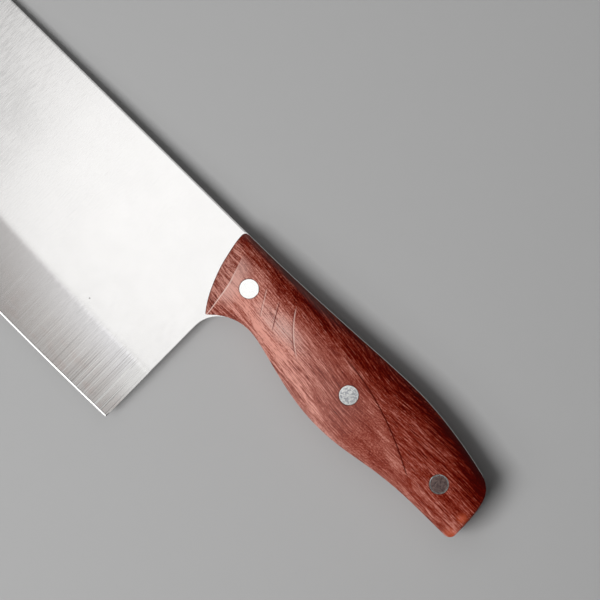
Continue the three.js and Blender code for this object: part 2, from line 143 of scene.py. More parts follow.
class CLEAVER_PG_handle(bpy.types.PropertyGroup):
    """Sizes of the handle: its outline, shared by tang and wood, and the form of the scales"""

    groove_x: length("Groove place", "Forefinger groove behind the front", 25.5)
    groove_depth: length("Groove depth", "Groove below the spine", 24.1)
    groove_ease: length("Groove ease", "Half the length over which the groove stays level", 8)
    swell_x: length("Swell place", "Palm swell behind the front", 66)
    swell_depth: length("Swell depth", "Palm swell below the spine", 31.4)
    swell_ease: length("Swell ease", "Half the length over which the swell stays level", 17)
    waist_back: length("Waist place", "Waist ahead of the butt", 15.7)
    waist_depth: length("Waist depth", "Waist below the spine", 27.1)
    waist_ease: length("Waist ease", "Length over which the waist stays level", 24)
    butt_corner: length("Butt corner", "Radius of the lower corner of the butt", 2.6)
    butt_bulge: length("Butt bulge", "How far up the butt stays upright", 12)
    shoulder_back: length("Shoulder place", "Where the spine side turns down", 8.6)
    shoulder_depth: length("Shoulder depth", "Shoulder below the spine", 2.3)
    shoulder_slope: angle("Shoulder slope", "Fall of the spine side at the shoulder", 14)
    shoulder_butt: length("Shoulder ease, butt", "Reach of the curve to the butt", 8.5)
    shoulder_hump: length("Shoulder ease, hump", "Reach of the curve to the hump", 14)
    hump_back: length("Hump place", "Highest point of the spine side ahead of the butt", 45.7)
    hump_butt: length("Hump ease, butt", "Level reach of the hump towards the butt", 10)
    hump_front: length("Hump ease, front", "Level reach of the hump towards the blade", 16)
    front_ease: length("Front ease", "How far the spine side runs level behind the blade", 38)
    tang_proud: length("Tang proud", "Steel standing out round the wood", 0.12)
    crown_front: length("Crown at front", "Height of a scale at the front", 8.2)
    crown_swell: length("Crown at swell", "Height of a scale at the palm swell", CROWN_HEIGHT / MM)
    crown_butt: length("Crown at butt", "Height of a scale at the butt", 8.5)
    spine_roundness: number("Spine roundness", "2 is an ellipse, more is squarer", 2.1)
    belly_roundness: number("Belly roundness", "The same on the underside", 2.5)
    flare_roundness: number("Flare roundness", "The same at the lower front corner", 1.36)
    flare_length: length("Flare length", "Over which the flare fills out", 22)
    side_trim: length("Side trim", "Shaved off the sides to leave an upright wall", 0.5)
    butt_round: length("Butt rounding", "Rounded rim at the butt", 2.4)
    crown_margin: length("Crown margin", "Rim of the butt above the highest crown", 0.1)
    nose_radius: length("Nose radius", "Front face, an arc seen from above", 47)
    nose_drop: length("Nose drop", "Centre of that arc below the spine", 1.4)
    nose_flat: length("Nose flatness", "How far the middle of the front lies behind that arc", 0.45)
    nose_lean: angle("Nose lean", "How far the front face leans back", 35.4)
    nose_corner: length("Nose corner", "Rounding where front face and spine side meet", 1.9)
    nose_lip: length("Nose lip", "Upright foot of the front face", 0.08)
    nose_blend: length("Nose blend", "Height over which front face and crown run together", 0.22)
    nose_soft: length("Nose softening", "How much wider that height is at the spine side", 1.8)
    butt_blend: length("Butt blend", "Height over which butt and crown run together", 0.9)
    beak_depth: length("Beak depth", "Lower front corner of the wood below the spine", 31)
    beak_corner: length("Beak corner", "Rounding of that corner", 0.7)
    beak_ease: length("Beak ease", "Reach of the curve behind that corner", 5)
    beak_slope: angle("Beak slope", "Rise of the underside behind that corner", 46)
    beak_groove: length("Beak ease, groove", "Reach of that curve at the groove", 7)
    sanding: length("Sanding", "Taken off the crown in finishing", 0.01)


class CLEAVER_PG_rivets(bpy.types.PropertyGroup):
    """Sizes of the two-part rivets"""

    head_depth: length("Head depth", "Seat of the head below the crown", 2.6)
    shank_diameter: length("Shank diameter", "Tubular shank of the socket half", 4.8)
    pin_diameter: length("Pin diameter", "Pin of the other half", 3.2)
    socket_floor: length("Socket floor", "Steel between the bore and the head's seat", 1.6)
    shank_gap: length("Shank gap", "Free end of the shank to the pin's head", 0.3)
    pin_gap: length("Pin gap", "Free end of the pin to the floor of the bore", 0.5)
    clearance: length("Clearance", "All round, in the wood, the tang and the socket", 0.05)
    edge_round: length("Edge rounding", "Softened rim of a head", 0.09)
    sink: length("Sink", "How far a head lies below the wood", 0.03)
    flatness: number("Flatness", "0 follows the crown of the wood, 1 is a level face", 0.85)
    segments: IntProperty(name="Segments", description="Steps round a rivet", default=64, min=12)


class CLEAVER_PG_finish(bpy.types.PropertyGroup):
    """Colours of steel, wood and rivets"""

    steel: colour("Steel", "Brushed flat of the blade", 0.83, 0.82, 0.81)
    bevel_top: colour("Bevel, top", "Ground bevel just below the grind line", 0.90, 0.89, 0.90)
    bevel: colour("Bevel", "Ground bevel at the edge", 0.85, 0.81, 0.785)
    # Light grinding lines, and a painted highlight on the bevel's corner at the heel
    bevel_bright: colour("Bevel, bright", "Light grinding lines and the corner at the heel", 1.0, 0.99, 0.97)
    bevel_stain: colour("Bevel stain", "Faint warm stains on the bevel", 0.78, 0.66, 0.62)
    hone: colour("Hone", "Bright honed edge", 0.90, 0.90, 0.88)
    pit: colour("Pit", "Small rust pit in the flat", 0.08, 0.06, 0.05)
    wood_deep: colour("Deep wood", "Darkest streaks along the spine side", 0.050, 0.001, 0.0005)
    wood_dark: colour("Dark wood", "Dark streaks", 0.115, 0.004, 0.001)
    wood_mid: colour("Wood", "Body of the wood", 0.22, 0.031, 0.016)
    wood_light: colour("Light wood", "Light streaks", 0.37, 0.112, 0.082)
    wood_pale: colour("Pale wood", "Palest streaks of the grip", 0.68, 0.31, 0.25)
    wood_pore: colour("Pores", "Open pores and grain lines", 0.018, 0.003, 0.0025)
    # Painted sheen: this pale, greyish colour stands in for the grip reflecting the overhead light
    wood_sheen: colour("Dry wood", "Dry, hazy wood of the grip", 0.63, 0.415, 0.37)
    # Painted sheen: greyish colour along the spine edge at the front of the grip, where the rounded edge
    # reflects grey light
    wood_spine_sheen: colour("Dusty wood", "Dull spine side of the grip", 0.115, 0.055, 0.05)
    # Bare wood: spots of wear at the butt, with a painted highlight where the sanded rim catches the light
    wood_butt_rubbed_lit: colour("Bare wood", "Rubbed spots at the butt", 0.60, 0.115, 0.045)
    # Wear and painted highlight: the crease behind the front face, and the lit side of each scratch
    wood_wear_highlight: colour("Worn wood", "Rubbed crease behind the front face", 0.80, 0.58, 0.52)
    rivet: colour("Rivet", "Ground rivet heads", 0.86, 0.86, 0.84)
    rivet_stain: colour("Rivet stain", "Mottling of the middle and rear heads", 0.46, 0.47, 0.51)
    # The rear head's face is given this browner colour
    rivet_brown: colour("Rivet tarnish", "Brown tarnish of the rear head", 0.66, 0.47, 0.44)


class CLEAVER_PG_stage(bpy.types.PropertyGroup):
    """Floor, camera and lamps"""

    floor: colour("Floor", "Plain pale floor", 0.43, 0.43, 0.43)
    floor_radius: length("Floor radius", "Half the width of the floor", 4000)
    view_x: length("View centre x", "Middle of the picture behind the handle's front", 30.7)
    view_y: length("View centre y", "Middle of the picture above the spine", -3.8)
    view_width: length("View width", "Width of the picture at the blade", 211.8)
    view_turn: angle("View turn", "Turn of the camera about the upright", 44.63)
    distance: length("Camera distance", "Height of the camera over the blade", 1600)
    world: number("Room light", "Light that the dim room itself gives", 0.05)
    walls: number("Walls", "Brightness of the walls as seen, also in the steel", 0.55)
    ceiling: number("Ceiling", "Power of the wide panel overhead in watts", 0.37)
    softbox: number("Softbox", "Power of the oval softbox overhead in watts", 0.0775)
    key: number("Key", "Power of the soft key lamp at the edge side in watts", 9.4)
    fill: number("Fill", "Power of the low lamp at the edge side in watts", 0.9)


# Curves in the plane of the steel


def bezier(start, leave, arrive, end, steps=24):
    t = np.linspace(0, 1, steps + 1)[:, None]
    weights = ((1 - t) ** 3, 3 * t * (1 - t) ** 2, 3 * t**2 * (1 - t), t**3)
    return sum(w * np.asarray(p, float) for w, p in zip(weights, (start, leave, arrive, end)))


def eased(start, leave, end, arrive):
    """Curve that leaves its start level over one reach, and comes level to its end over another."""
    return bezier(start, (start[0] + leave, start[1]), (end[0] - arrive, end[1]), end)


def arc(centre, radius, first, last, steps=24):
    turn = np.linspace(first, last, steps + 1)
    return np.stack([centre[0] + radius * np.cos(turn), centre[1] + radius * np.sin(turn)], axis=1)


def heading(turn):
    """Direction at this angle to the handle."""
    return np.array([math.cos(turn), math.sin(turn)])


def joined(*runs):
    """Runs of points end to end, without the point that two runs share."""
    return np.concatenate([runs[0]] + [run[1:] for run in runs[1:]])


def along(points):
    """Distance of each point along a run."""
    steps = np.linalg.norm(np.diff(points, axis=0), axis=1)
    return np.concatenate([[0], np.cumsum(steps)])


def picked(points, shares):
    """Points at these shares of the way along a run."""
    way = along(points)
    return np.stack([np.interp(shares, way / way[-1], column) for column in points.T], axis=-1)


def respaced(points, spacing):
    """The same run with even spacing."""
    count = max(1, round(along(points)[-1] / spacing))
    return picked(points, np.linspace(0, 1, count + 1))


def smoothstep(value, low, high):
    t = np.clip((value - low) / (high - low), 0, 1)
    return t * t * (3 - 2 * t)


def lower_of(a, b, blend):
    """The lower of two heights, rounded over where they cross."""
    near = np.maximum(blend - np.abs(a - b), 0) / blend
    return np.minimum(a, b) - near * near * blend / 4


def handle_curves(handle, inset):
    """Spine side, butt and underside of the handle, each from front to back. Wood has an inset."""
    groove = (handle.groove_x, inset - handle.groove_depth)
    swell = (handle.swell_x, inset - handle.swell_depth)
    waist = (HANDLE_LENGTH - handle.waist_back, inset - handle.waist_depth)
    hump = (HANDLE_LENGTH - handle.hump_back, HUMP_RISE - inset)
    level = (hump[0] + handle.hump_butt, hump[1])
    shoulder = np.array([HANDLE_LENGTH - handle.shoulder_back, -handle.shoulder_depth - inset])
    fall = heading(-handle.shoulder_slope)
    corner = handle.butt_corner
    butt = np.array([HANDLE_LENGTH - inset, waist[1] + corner])
    spine_side = joined(
        eased((0, -inset), handle.front_ease, hump, handle.hump_front),
        bezier(hump, level, shoulder - handle.shoulder_hump * fall, shoulder),
    )
    butt_end = joined(
        bezier(shoulder, shoulder + handle.shoulder_butt * fall, butt + (0, handle.butt_bulge), butt),
        arc(butt - (corner, 0), corner, 0, -math.pi / 2),
    )
    underside = joined(
        eased(groove, handle.groove_ease, swell, handle.swell_ease),
        eased(swell, handle.swell_ease, waist, handle.waist_ease),
        np.array([waist, butt - corner]),
    )
    return spine_side, butt_end, underside


# Meshes


def soften(mesh, sharp_degrees):
    """Smooth shading, but for edges that turn by more than this."""
    mesh.shade_smooth()
    mesh.set_sharp_from_angle(angle=math.radians(sharp_degrees))


def make_mesh(name, points, faces, sharp_degrees):
    mesh = bpy.data.meshes.new(name)
    mesh.from_pydata((np.asarray(points) + np.array(ORIGIN)).tolist(), [], faces)
    mesh.update()
    soften(mesh, sharp_degrees)
    return mesh


def strip(a, b):
    """Faces between two closed rows of points."""
    return np.stack([a, b, np.roll(b, -1), np.roll(a, -1)], axis=1).tolist()


def make_object(name, data):
    piece = bpy.data.objects.new(name, data)
    bpy.context.scene.collection.objects.link(piece)
    return piece


def keep_marks(mesh, **marks):
    """Keeps numbers on the points of a mesh, under names that the finishes read."""
    for name, values in marks.items():
        layer = mesh.attributes.new(name, "FLOAT", "POINT")
        layer.data.foreach_set("value", values.astype(np.float32))


def finish_piece(piece, material, slot, *nodes):
    """Gives a piece its finish and lets it stand for its CAD nodes."""
    if not piece.data.polygons:
        raise RuntimeError(f"{piece.name} has no faces")
    piece.data.materials.clear()
    piece.data.materials.append(material)
    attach(piece, "root")
    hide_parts(*nodes)


def baked(piece):
    """Plain mesh of a piece with its modifiers applied."""
    graph = bpy.context.evaluated_depsgraph_get()
    return bpy.data.meshes.new_from_object(piece.evaluated_get(graph))


def mirrored(mesh):
    """Turns a left-hand mesh into the right-hand one, across the middle of the steel."""
    mesh.transform(Matrix.Translation((0, 0, 2 * ORIGIN.z)) @ Matrix.Diagonal((1, 1, -1, 1)))
    mesh.flip_normals()
    mesh.update()


# Blade


def edge_at(blade, x):
    """Height of the cutting edge."""
    rise = np.sqrt(blade.edge_radius**2 - (x + blade.edge_low) ** 2)
    return blade.edge_radius - blade.width - rise


def grind_width(blade, x):
    back = np.clip((blade.heel - x) / (blade.heel + BLADE_LENGTH), 0, 1)
    return blade.grind_heel + (blade.grind_tip - blade.grind_heel) * back


def ground_half(blade, x, y):
    """Half the thickness of the steel after grinding and honing."""
    above = y - edge_at(blade, x)
    hone_top = blade.hone_thickness / 2
    lip = blade.edge_thickness / 2
    honed = lip + (hone_top - lip) * above / blade.hone_width
    run = grind_width(blade, x) - blade.hone_width
    bevel = hone_top + (HALF_STEEL - hone_top) * (above - blade.hone_width) / run
    ground = lower_of(bevel, HALF_STEEL, blade.grind_blend)
    return np.maximum(lower_of(honed, ground, blade.hone_blend), lip)


def blade_outline(blade, handle):
    """Outline of blade and tang, anticlockwise from the toe, and the softening of each point."""
    tip, plain, rounded = -BLADE_LENGTH, blade.plain_round, blade.spine_round
    toe_x = tip + blade.tip_toe
    centre = np.array([-blade.edge_low, blade.edge_radius - blade.width])
    inner = blade.edge_radius - blade.tip_toe
    toe = np.array([toe_x, centre[1] - math.sqrt(inner**2 - (toe_x - centre[0]) ** 2)])
    toe_turn = math.atan2(toe[1] - centre[1], toe[0] - centre[0])
    heel_turn = -math.acos((blade.heel - centre[0]) / blade.edge_radius)
    edge = arc(centre, blade.edge_radius, toe_turn, heel_turn, steps=200)
    heel = np.array([blade.heel, -blade.neck_depth])
    groove = np.array([handle.groove_x, -handle.groove_depth])
    neck = bezier(heel, heel + (0, blade.neck_heel), groove - (blade.neck_groove, 0), groove)
    spine_side, butt_end, underside = handle_curves(handle, 0)
    tip_arc = arc((tip + blade.tip_spine, -blade.tip_spine), blade.tip_spine, math.pi / 2, math.pi)
    runs = [
        (edge, 0),
        (np.array([edge[-1], heel]), plain),
        (neck, plain),
        (underside, plain),
        (butt_end[::-1], plain),
        (spine_side[::-1], plain),
        (np.array([(0, 0), tip_arc[0]]), rounded),
        (tip_arc, rounded),
        (np.array([tip_arc[-1], (tip, toe[1])]), rounded),
        (arc(toe, blade.tip_toe, -math.pi, toe_turn), plain),
    ]
    even = [(respaced(run, blade.spacing)[:-1], soft) for run, soft in runs]
    softness = [np.full(len(points), soft) for points, soft in even]
    return np.concatenate([points for points, _ in even]), np.concatenate(softness)


def inward(loop):
    """Direction into the steel at each point of an anticlockwise outline, long enough for a mitre."""
    ahead = np.roll(loop, -1, axis=0) - loop
    ahead /= np.linalg.norm(ahead, axis=1)[:, None]
    normal = np.stack([-ahead[:, 1], ahead[:, 0]], axis=1)
    before = np.roll(normal, 1, axis=0)
    return (normal + before) / (1 + (normal * before).sum(axis=1))[:, None]


def inside(points, loop):
    """Which points lie inside a closed outline."""
    found = np.zeros(len(points), bool)
    for a, b in zip(loop, np.roll(loop, -1, axis=0)):
        spans = (a[1] > points[:, 1]) != (b[1] > points[:, 1])
        if a[1] != b[1]:
            crossing = a[0] + (points[:, 1] - a[1]) * (b[0] - a[0]) / (b[1] - a[1])
            found ^= spans & (points[:, 0] < crossing)
    return found


def rim_rings(blade, loop, softness):
    """Rings that round the edge of the steel, each with its greatest height, and one for the flat."""
    steps, hold = 6, 1.25
    into = inward(loop)
    reach = np.maximum(softness, blade.plain_round)
    for turn in np.linspace(0, math.pi / 2, steps):
        ring = loop + into * (reach * (1 - math.cos(turn)))[:, None]
        yield ring, HALF_STEEL - softness * (1 - math.sin(turn))
    yield loop + into * (reach * hold)[:, None], np.full(len(loop), HALF_STEEL)


def grind_lines(blade):
    """Lines along the hone and the grind line, close together where the surface bends."""
    clear, step = 0.4 * MM, 1.5 * blade.spacing
    x = np.arange(-BLADE_LENGTH + blade.tip_toe + clear, blade.heel - 3 * clear, step)
    x = np.append(x, blade.heel - clear)
    by_hone = np.array([-0.25, -0.12, 0, 0.12, 0.25, 0.5]) * MM
    by_grind = np.linspace(-3.2, 3.2, 17) * MM
    levels = [np.full_like(x, blade.hone_width + off) for off in by_hone]
    levels += [grind_width(blade, x) + off for off in by_grind]
    return [np.stack([x, edge_at(blade, x) + level], axis=1) for level in levels]


def steel_mesh(blade, handle, rivets):
    """Blade and tang: a fine flat net over the outline, raised to the ground thickness on both sides."""
    lines, caps, edges = [], [], []

    def draw(points, cap, closed=True):
        """Adds a line to the net and returns the numbers of its points."""
        numbers = sum(map(len, lines)) + np.arange(len(points))
        pairs = np.stack([numbers, np.roll(numbers, -1)], axis=1).tolist()
        edges.extend(pairs if closed else pairs[:-1])
        lines.append(points)
        caps.append(np.broadcast_to(cap, len(points)))
        return numbers

    loop, softness = blade_outline(blade, handle)
    rings = [draw(ring, cap) for ring, cap in rim_rings(blade, loop, softness)]
    for line in grind_lines(blade):
        draw(line, HALF_STEEL, closed=False)
    bore = rivets.shank_diameter / 2 + rivets.clearance
    holes = [arc(place, bore, 2 * math.pi, 0, rivets.segments)[:-1] for place in RIVET_PLACES.values()]
    rims = rings[:1] + [draw(hole, HALF_STEEL) for hole in holes]

    plan = np.concatenate(lines)
    half = np.minimum(ground_half(blade, *plan.T), np.concatenate(caps))
    points = [Vector(p) for p in plan / MM]
    whole, nearness = 0, 1e-5
    found, _, triangles, sources, _, _ = delaunay_2d_cdt(points, edges, [], whole, nearness)
    flat = np.array([p[:] for p in found]) * MM
    first = np.array([source[0] if source else -1 for source in sources])
    heights = np.where(first >= 0, half[first], HALF_STEEL)
    where = {number: i for i, source in enumerate(sources) for number in source}
    triangles = np.array(triangles)
    middle = flat[triangles].mean(axis=1)
    drilled = np.any([inside(middle, hole) for hole in holes], axis=0)
    triangles = triangles[inside(middle, loop) & ~drilled]

    count = len(flat)
    faces = triangles.tolist() + (triangles[:, ::-1] + count).tolist()
    for rim in rims:
        row = np.array([where[number] for number in rim])
        faces += strip(row, row + count)
    both = [np.column_stack([flat, side * heights]) for side in (1, -1)]
    mesh = make_mesh("blade_steel", np.concatenate(both), faces, STEEL_SHARP)

    x, y = flat.T
    gap = y - edge_at(blade, np.clip(x, -BLADE_LENGTH, blade.heel))
    grind = grind_width(blade, x)
    ground = np.clip((grind - gap) / grind, -1, 1)
    honed = smoothstep(blade.hone_width - gap, -0.08 * MM, 0.02 * MM)
    keep_marks(mesh, ground=np.tile(ground, 2), honed=np.tile(honed, 2))
    return mesh


# Scales


def corner_round(start, corner, end):
    """Curve that rounds a corner off between two points on its sides."""
    lean = 2 / 3
    return bezier(start, start + lean * (corner - start), end + lean * (corner - end), end, steps=16)


def nose_at(handle, y):
    """Where the front face meets the tang."""
    bend = handle.nose_radius - np.sqrt(handle.nose_radius**2 - (y + handle.nose_drop) ** 2)
    below_spine = smoothstep(y, -2 * MM, -11 * MM)
    above_beak = smoothstep(y, -30 * MM, -18 * MM)
    return bend + handle.nose_flat * below_spine * above_beak


def wood_curves(handle):
    """Spine side, butt, underside and front of the wood, with the corners of the front rounded."""
    inset = handle.tang_proud
    top, butt_end, underside = handle_curves(handle, inset)
    rise = heading(handle.beak_slope)
    upper = np.array([nose_at(handle, -inset), -inset])
    beak = np.array([nose_at(handle, -handle.beak_depth), -handle.beak_depth])
    groove = underside[0]
    flare = bezier(beak, beak + handle.beak_ease * rise, groove - (handle.beak_groove, 0), groove)
    steps = 60
    arc_y = np.linspace(-inset - handle.nose_corner, handle.beak_corner - handle.beak_depth, steps)
    front = np.stack([nose_at(handle, arc_y), arc_y], axis=1)
    upper_end = upper + (handle.nose_corner, 0)
    beak_end = beak + handle.beak_corner * rise
    upper_round = corner_round(upper_end, upper, front[0])
    beak_round = corner_round(front[-1], beak, beak_end)
    middle = len(upper_round) // 2
    top_rest = top[top[:, 0] > upper_end[0]]
    flare_rest = flare[flare[:, 0] > beak_end[0]]
    return SimpleNamespace(
        spine=np.concatenate([upper_round[middle::-1], top_rest]),
        butt=butt_end,
        belly=joined(np.concatenate([beak_round[middle:], flare_rest]), underside),
        nose=joined(upper_round[middle:], front, beak_round[: middle + 1]),
        beak=beak,
        flare=joined(flare, underside),
        top=top,
    )


def crown_at(handle, x):
    """Height of the crown along the handle."""
    to_swell = smoothstep(x, 0, handle.swell_x) * (handle.crown_swell - handle.crown_front)
    to_butt = smoothstep(x, handle.swell_x, HANDLE_LENGTH) * (handle.crown_butt - handle.crown_swell)
    return handle.crown_front + to_swell + to_butt


def seat_height(handle, rivets, x):
    """Height of the seat under a rivet's head."""
    return HALF_STEEL + crown_at(handle, x) - rivets.head_depth


def crown_height(handle, curves, x, y):
    """Height of the rounded crown above the tang, before front face and butt are cut."""
    beak, lead = curves.beak, 4 * MM
    ahead = beak - lead * heading(handle.beak_slope)
    belly_line = np.concatenate([[(-lead, ahead[1])], [ahead], curves.flare])
    station = np.minimum(x, HANDLE_LENGTH - handle.shoulder_back)
    high = np.interp(station, *curves.top.T)
    low = np.interp(station, *belly_line.T)
    half = (high - low) / 2 + handle.side_trim
    across = np.clip((y - (high + low) / 2) / half, -1, 1)
    filled = smoothstep(x, beak[0], beak[0] + handle.flare_length)
    belly = handle.flare_roundness + (handle.belly_roundness - handle.flare_roundness) * filled
    roundness = np.where(across > 0, handle.spine_roundness, belly)
    return crown_at(handle, x) * (1 - np.abs(across) ** roundness) ** (1 / roundness)


def nose_height(handle, curves, x, y):
    """Height of the leaning front face above the tang."""
    nose = curves.nose[: np.argmin(curves.nose[:, 1]) + 1][::-1]
    return (x - np.interp(y, nose[:, 1], nose[:, 0])) / math.tan(handle.nose_lean)


def gap_to(points, line):
    """Shortest distance from each point to a run of points."""
    best = np.full(points.shape[:-1], np.inf)
    for a, b in zip(line[:-1], line[1:]):
        share = np.clip(((points - a) @ (b - a)) / ((b - a) @ (b - a)), 0, 1)
        best = np.minimum(best, np.linalg.norm(points - a - share[..., None] * (b - a), axis=-1))
    return best


def butt_height(handle, curves, points):
    """Height of the rounded rim at the butt above the tang."""
    rim = min(handle.butt_round, handle.butt_corner)
    top = max(handle.crown_front, handle.crown_swell, handle.crown_butt) + handle.crown_margin
    gap = gap_to(points, curves.butt)
    depth = np.minimum(gap, rim)
    return top - rim + np.sqrt(np.maximum(rim**2 - (rim - depth) ** 2, 0)) + gap - depth


def scale_height(handle, curves, points):
    """Height of the finished wood above the tang."""
    x, y = points[..., 0], points[..., 1]
    crown = crown_height(handle, curves, x, y) - handle.sanding
    near_spine = smoothstep(y, -16 * MM, -5 * MM)
    blend = handle.nose_blend + handle.nose_soft * near_spine
    shaped = lower_of(crown, nose_height(handle, curves, x, y), blend)
    shaped = lower_of(shaped, butt_height(handle, curves, points), handle.butt_blend)
    return np.maximum(shaped, handle.nose_lip)


def scale_net(handle, curves):
    """Net of points over the wood's outline, with a row along the crease behind the front face."""
    sides = curves.spine, curves.belly
    corners = [side[end] for side in sides for end in (0, -1)]

    def patch(u, v):
        """Places at these shares of the way along the handle and across it."""
        u, v = u[..., None], v[..., None]
        flat = (1 - v) * picked(sides[0], u[..., 0]) + v * picked(sides[1], u[..., 0])
        ends = (1 - u) * picked(curves.nose, v[..., 0]) + u * picked(curves.butt, v[..., 0])
        shares = ((1 - u) * (1 - v), u * (1 - v), (1 - u) * v, u * v)
        return flat + ends - sum(share * corner for share, corner in zip(shares, corners))

    # The crease is found by halving, in each column, the stretch that holds it.
    columns, longest, halvings = 85, 0.3, 40
    across = (1 - np.cos(np.linspace(0, math.pi, columns))) / 2
    near, far = np.zeros(columns), np.full(columns, longest)
    for _ in range(halvings):
        middle = (near + far) / 2
        x, y = patch(middle, across).T
        below = nose_height(handle, curves, x, y) < crown_height(handle, curves, x, y)
        near, far = np.where(below, middle, near), np.where(below, far, middle)

    # Rows lie closer together at the crease and at the butt.
    facet_rows, body_rows, butt_rows, butt_share = 13, 190, 26, 0.03
    facet = 1 - (1 - np.linspace(0, 1, facet_rows)) ** 1.6
    after_crease = np.array([0.001, 0.002, 0.0035, 0.006, 0.009])
    body = np.linspace(0.013, 1 - butt_share, body_rows)
    towards_butt = 1 - butt_share * np.linspace(0.94, 0, butt_rows) ** 1.3
    behind = np.concatenate([after_crease, body, towards_butt])
    u = np.concatenate([near * facet[:, None], near + (1 - near) * behind[:, None]])
    return patch(u, np.broadcast_to(across, u.shape))


def scale_mesh(handle, name):
    """Left scale before it is drilled: the net raised to the crown, its wall, and its flat back."""
    curves = wood_curves(handle)
    net = scale_net(handle, curves)
    flat = net.reshape(-1, 2)
    top = scale_height(handle, curves, net).reshape(-1) + HALF_STEEL
    index = np.arange(len(flat)).reshape(net.shape[:2])
    quads = np.stack([index[:-1, :-1], index[:-1, 1:], index[1:, 1:], index[1:, :-1]], axis=-1)
    rim = np.concatenate([index[:, 0], index[-1, 1:], index[-2::-1, -1], index[0, -2:0:-1]])[::-1]
    foot = np.column_stack([flat[rim], np.full(len(rim), HALF_STEEL)])
    base = len(flat) + np.arange(len(rim))
    outline = [Vector(p) for p in flat[rim] / MM]
    within, nearness = 1, 1e-6
    back = delaunay_2d_cdt(outline, [], [list(range(len(rim)))], within, nearness)
    source = np.array([sources[0] for sources in back[3]])
    faces = quads.reshape(-1, 4).tolist() + strip(rim, base)
    faces += base[source[np.array(back[2])][:, ::-1]].tolist()
    return make_mesh(name, np.concatenate([np.column_stack([flat, top]), foot]), faces, WOOD_SHARP)


def mark_front(mesh, handle):
    """Keeps which wood is front face, crease or just behind, and how far it is from the belly."""
    points = np.empty(3 * len(mesh.vertices), np.float32)
    mesh.vertices.foreach_get("co", points)
    points = points.reshape(-1, 3) - np.array(ORIGIN)
    x, y, _ = points.T
    curves = wood_curves(handle)
    over = crown_height(handle, curves, x, y) - nose_height(handle, curves, x, y)
    facet = smoothstep(over, 0, 0.2 * MM)
    keep_marks(
        mesh,
        crease=1 - smoothstep(np.abs(over), 0.1 * MM, 0.5 * MM),
        facet=facet,
        behind=(1 - facet) * (1 - smoothstep(-over, 2 * MM, 11 * MM)),
        belly_gap=gap_to(points[:, :2], curves.belly) / MM,
    )


def drill_bits(handle, rivets):
    """Stepped bits that drill a scale for its rivets: a hole for the shank and a recess for the head."""
    points, faces = [], []
    margin, count = 3 * MM, rivets.segments
    bore = rivets.shank_diameter / 2 + rivets.clearance
    recess = HEAD_RADIUS + rivets.clearance
    for place in RIVET_PLACES.values():
        seat = seat_height(handle, rivets, place.x)
        top = seat + rivets.head_depth + margin
        steps = [(bore, HALF_STEEL - margin), (bore, seat), (recess, seat), (recess, top)]
        rings = len(points) + np.arange(len(steps) * count).reshape(-1, count)
        for radius, height in steps:
            points.extend((x, y, height) for x, y in arc(place, radius, 0, 2 * math.pi, count)[:-1])
        for low, high in zip(rings, rings[1:]):
            faces += np.stack([low, np.roll(low, -1), np.roll(high, -1), high], axis=1).tolist()
        faces += [rings[0, ::-1].tolist(), rings[-1].tolist()]
    return make_mesh("drill_bits", points, faces, WOOD_SHARP)


# Nodes


def set_inputs(node, inputs):
    """Sets a node's inputs, or links them to fields."""
    for name, value in inputs.items():
        socket = node.inputs[name]
        if isinstance(value, Field):
            node.id_data.links.new(value.socket, socket)
        elif socket.type == "RGBA":
            socket.default_value = (*value, 1)
        else:
            socket.default_value = value


def add(tree, kind, inputs=None, **settings):
    """New node with its settings and inputs."""
    node = tree.nodes.new(kind)
    for name, value in settings.items():
        setattr(node, name, value)
    set_inputs(node, inputs or {})
    return node


def made(tree, kind, inputs=None, output=0, **settings):
    """One output of a new node as a field."""
    return Field(add(tree, kind, inputs, **settings).outputs[output])


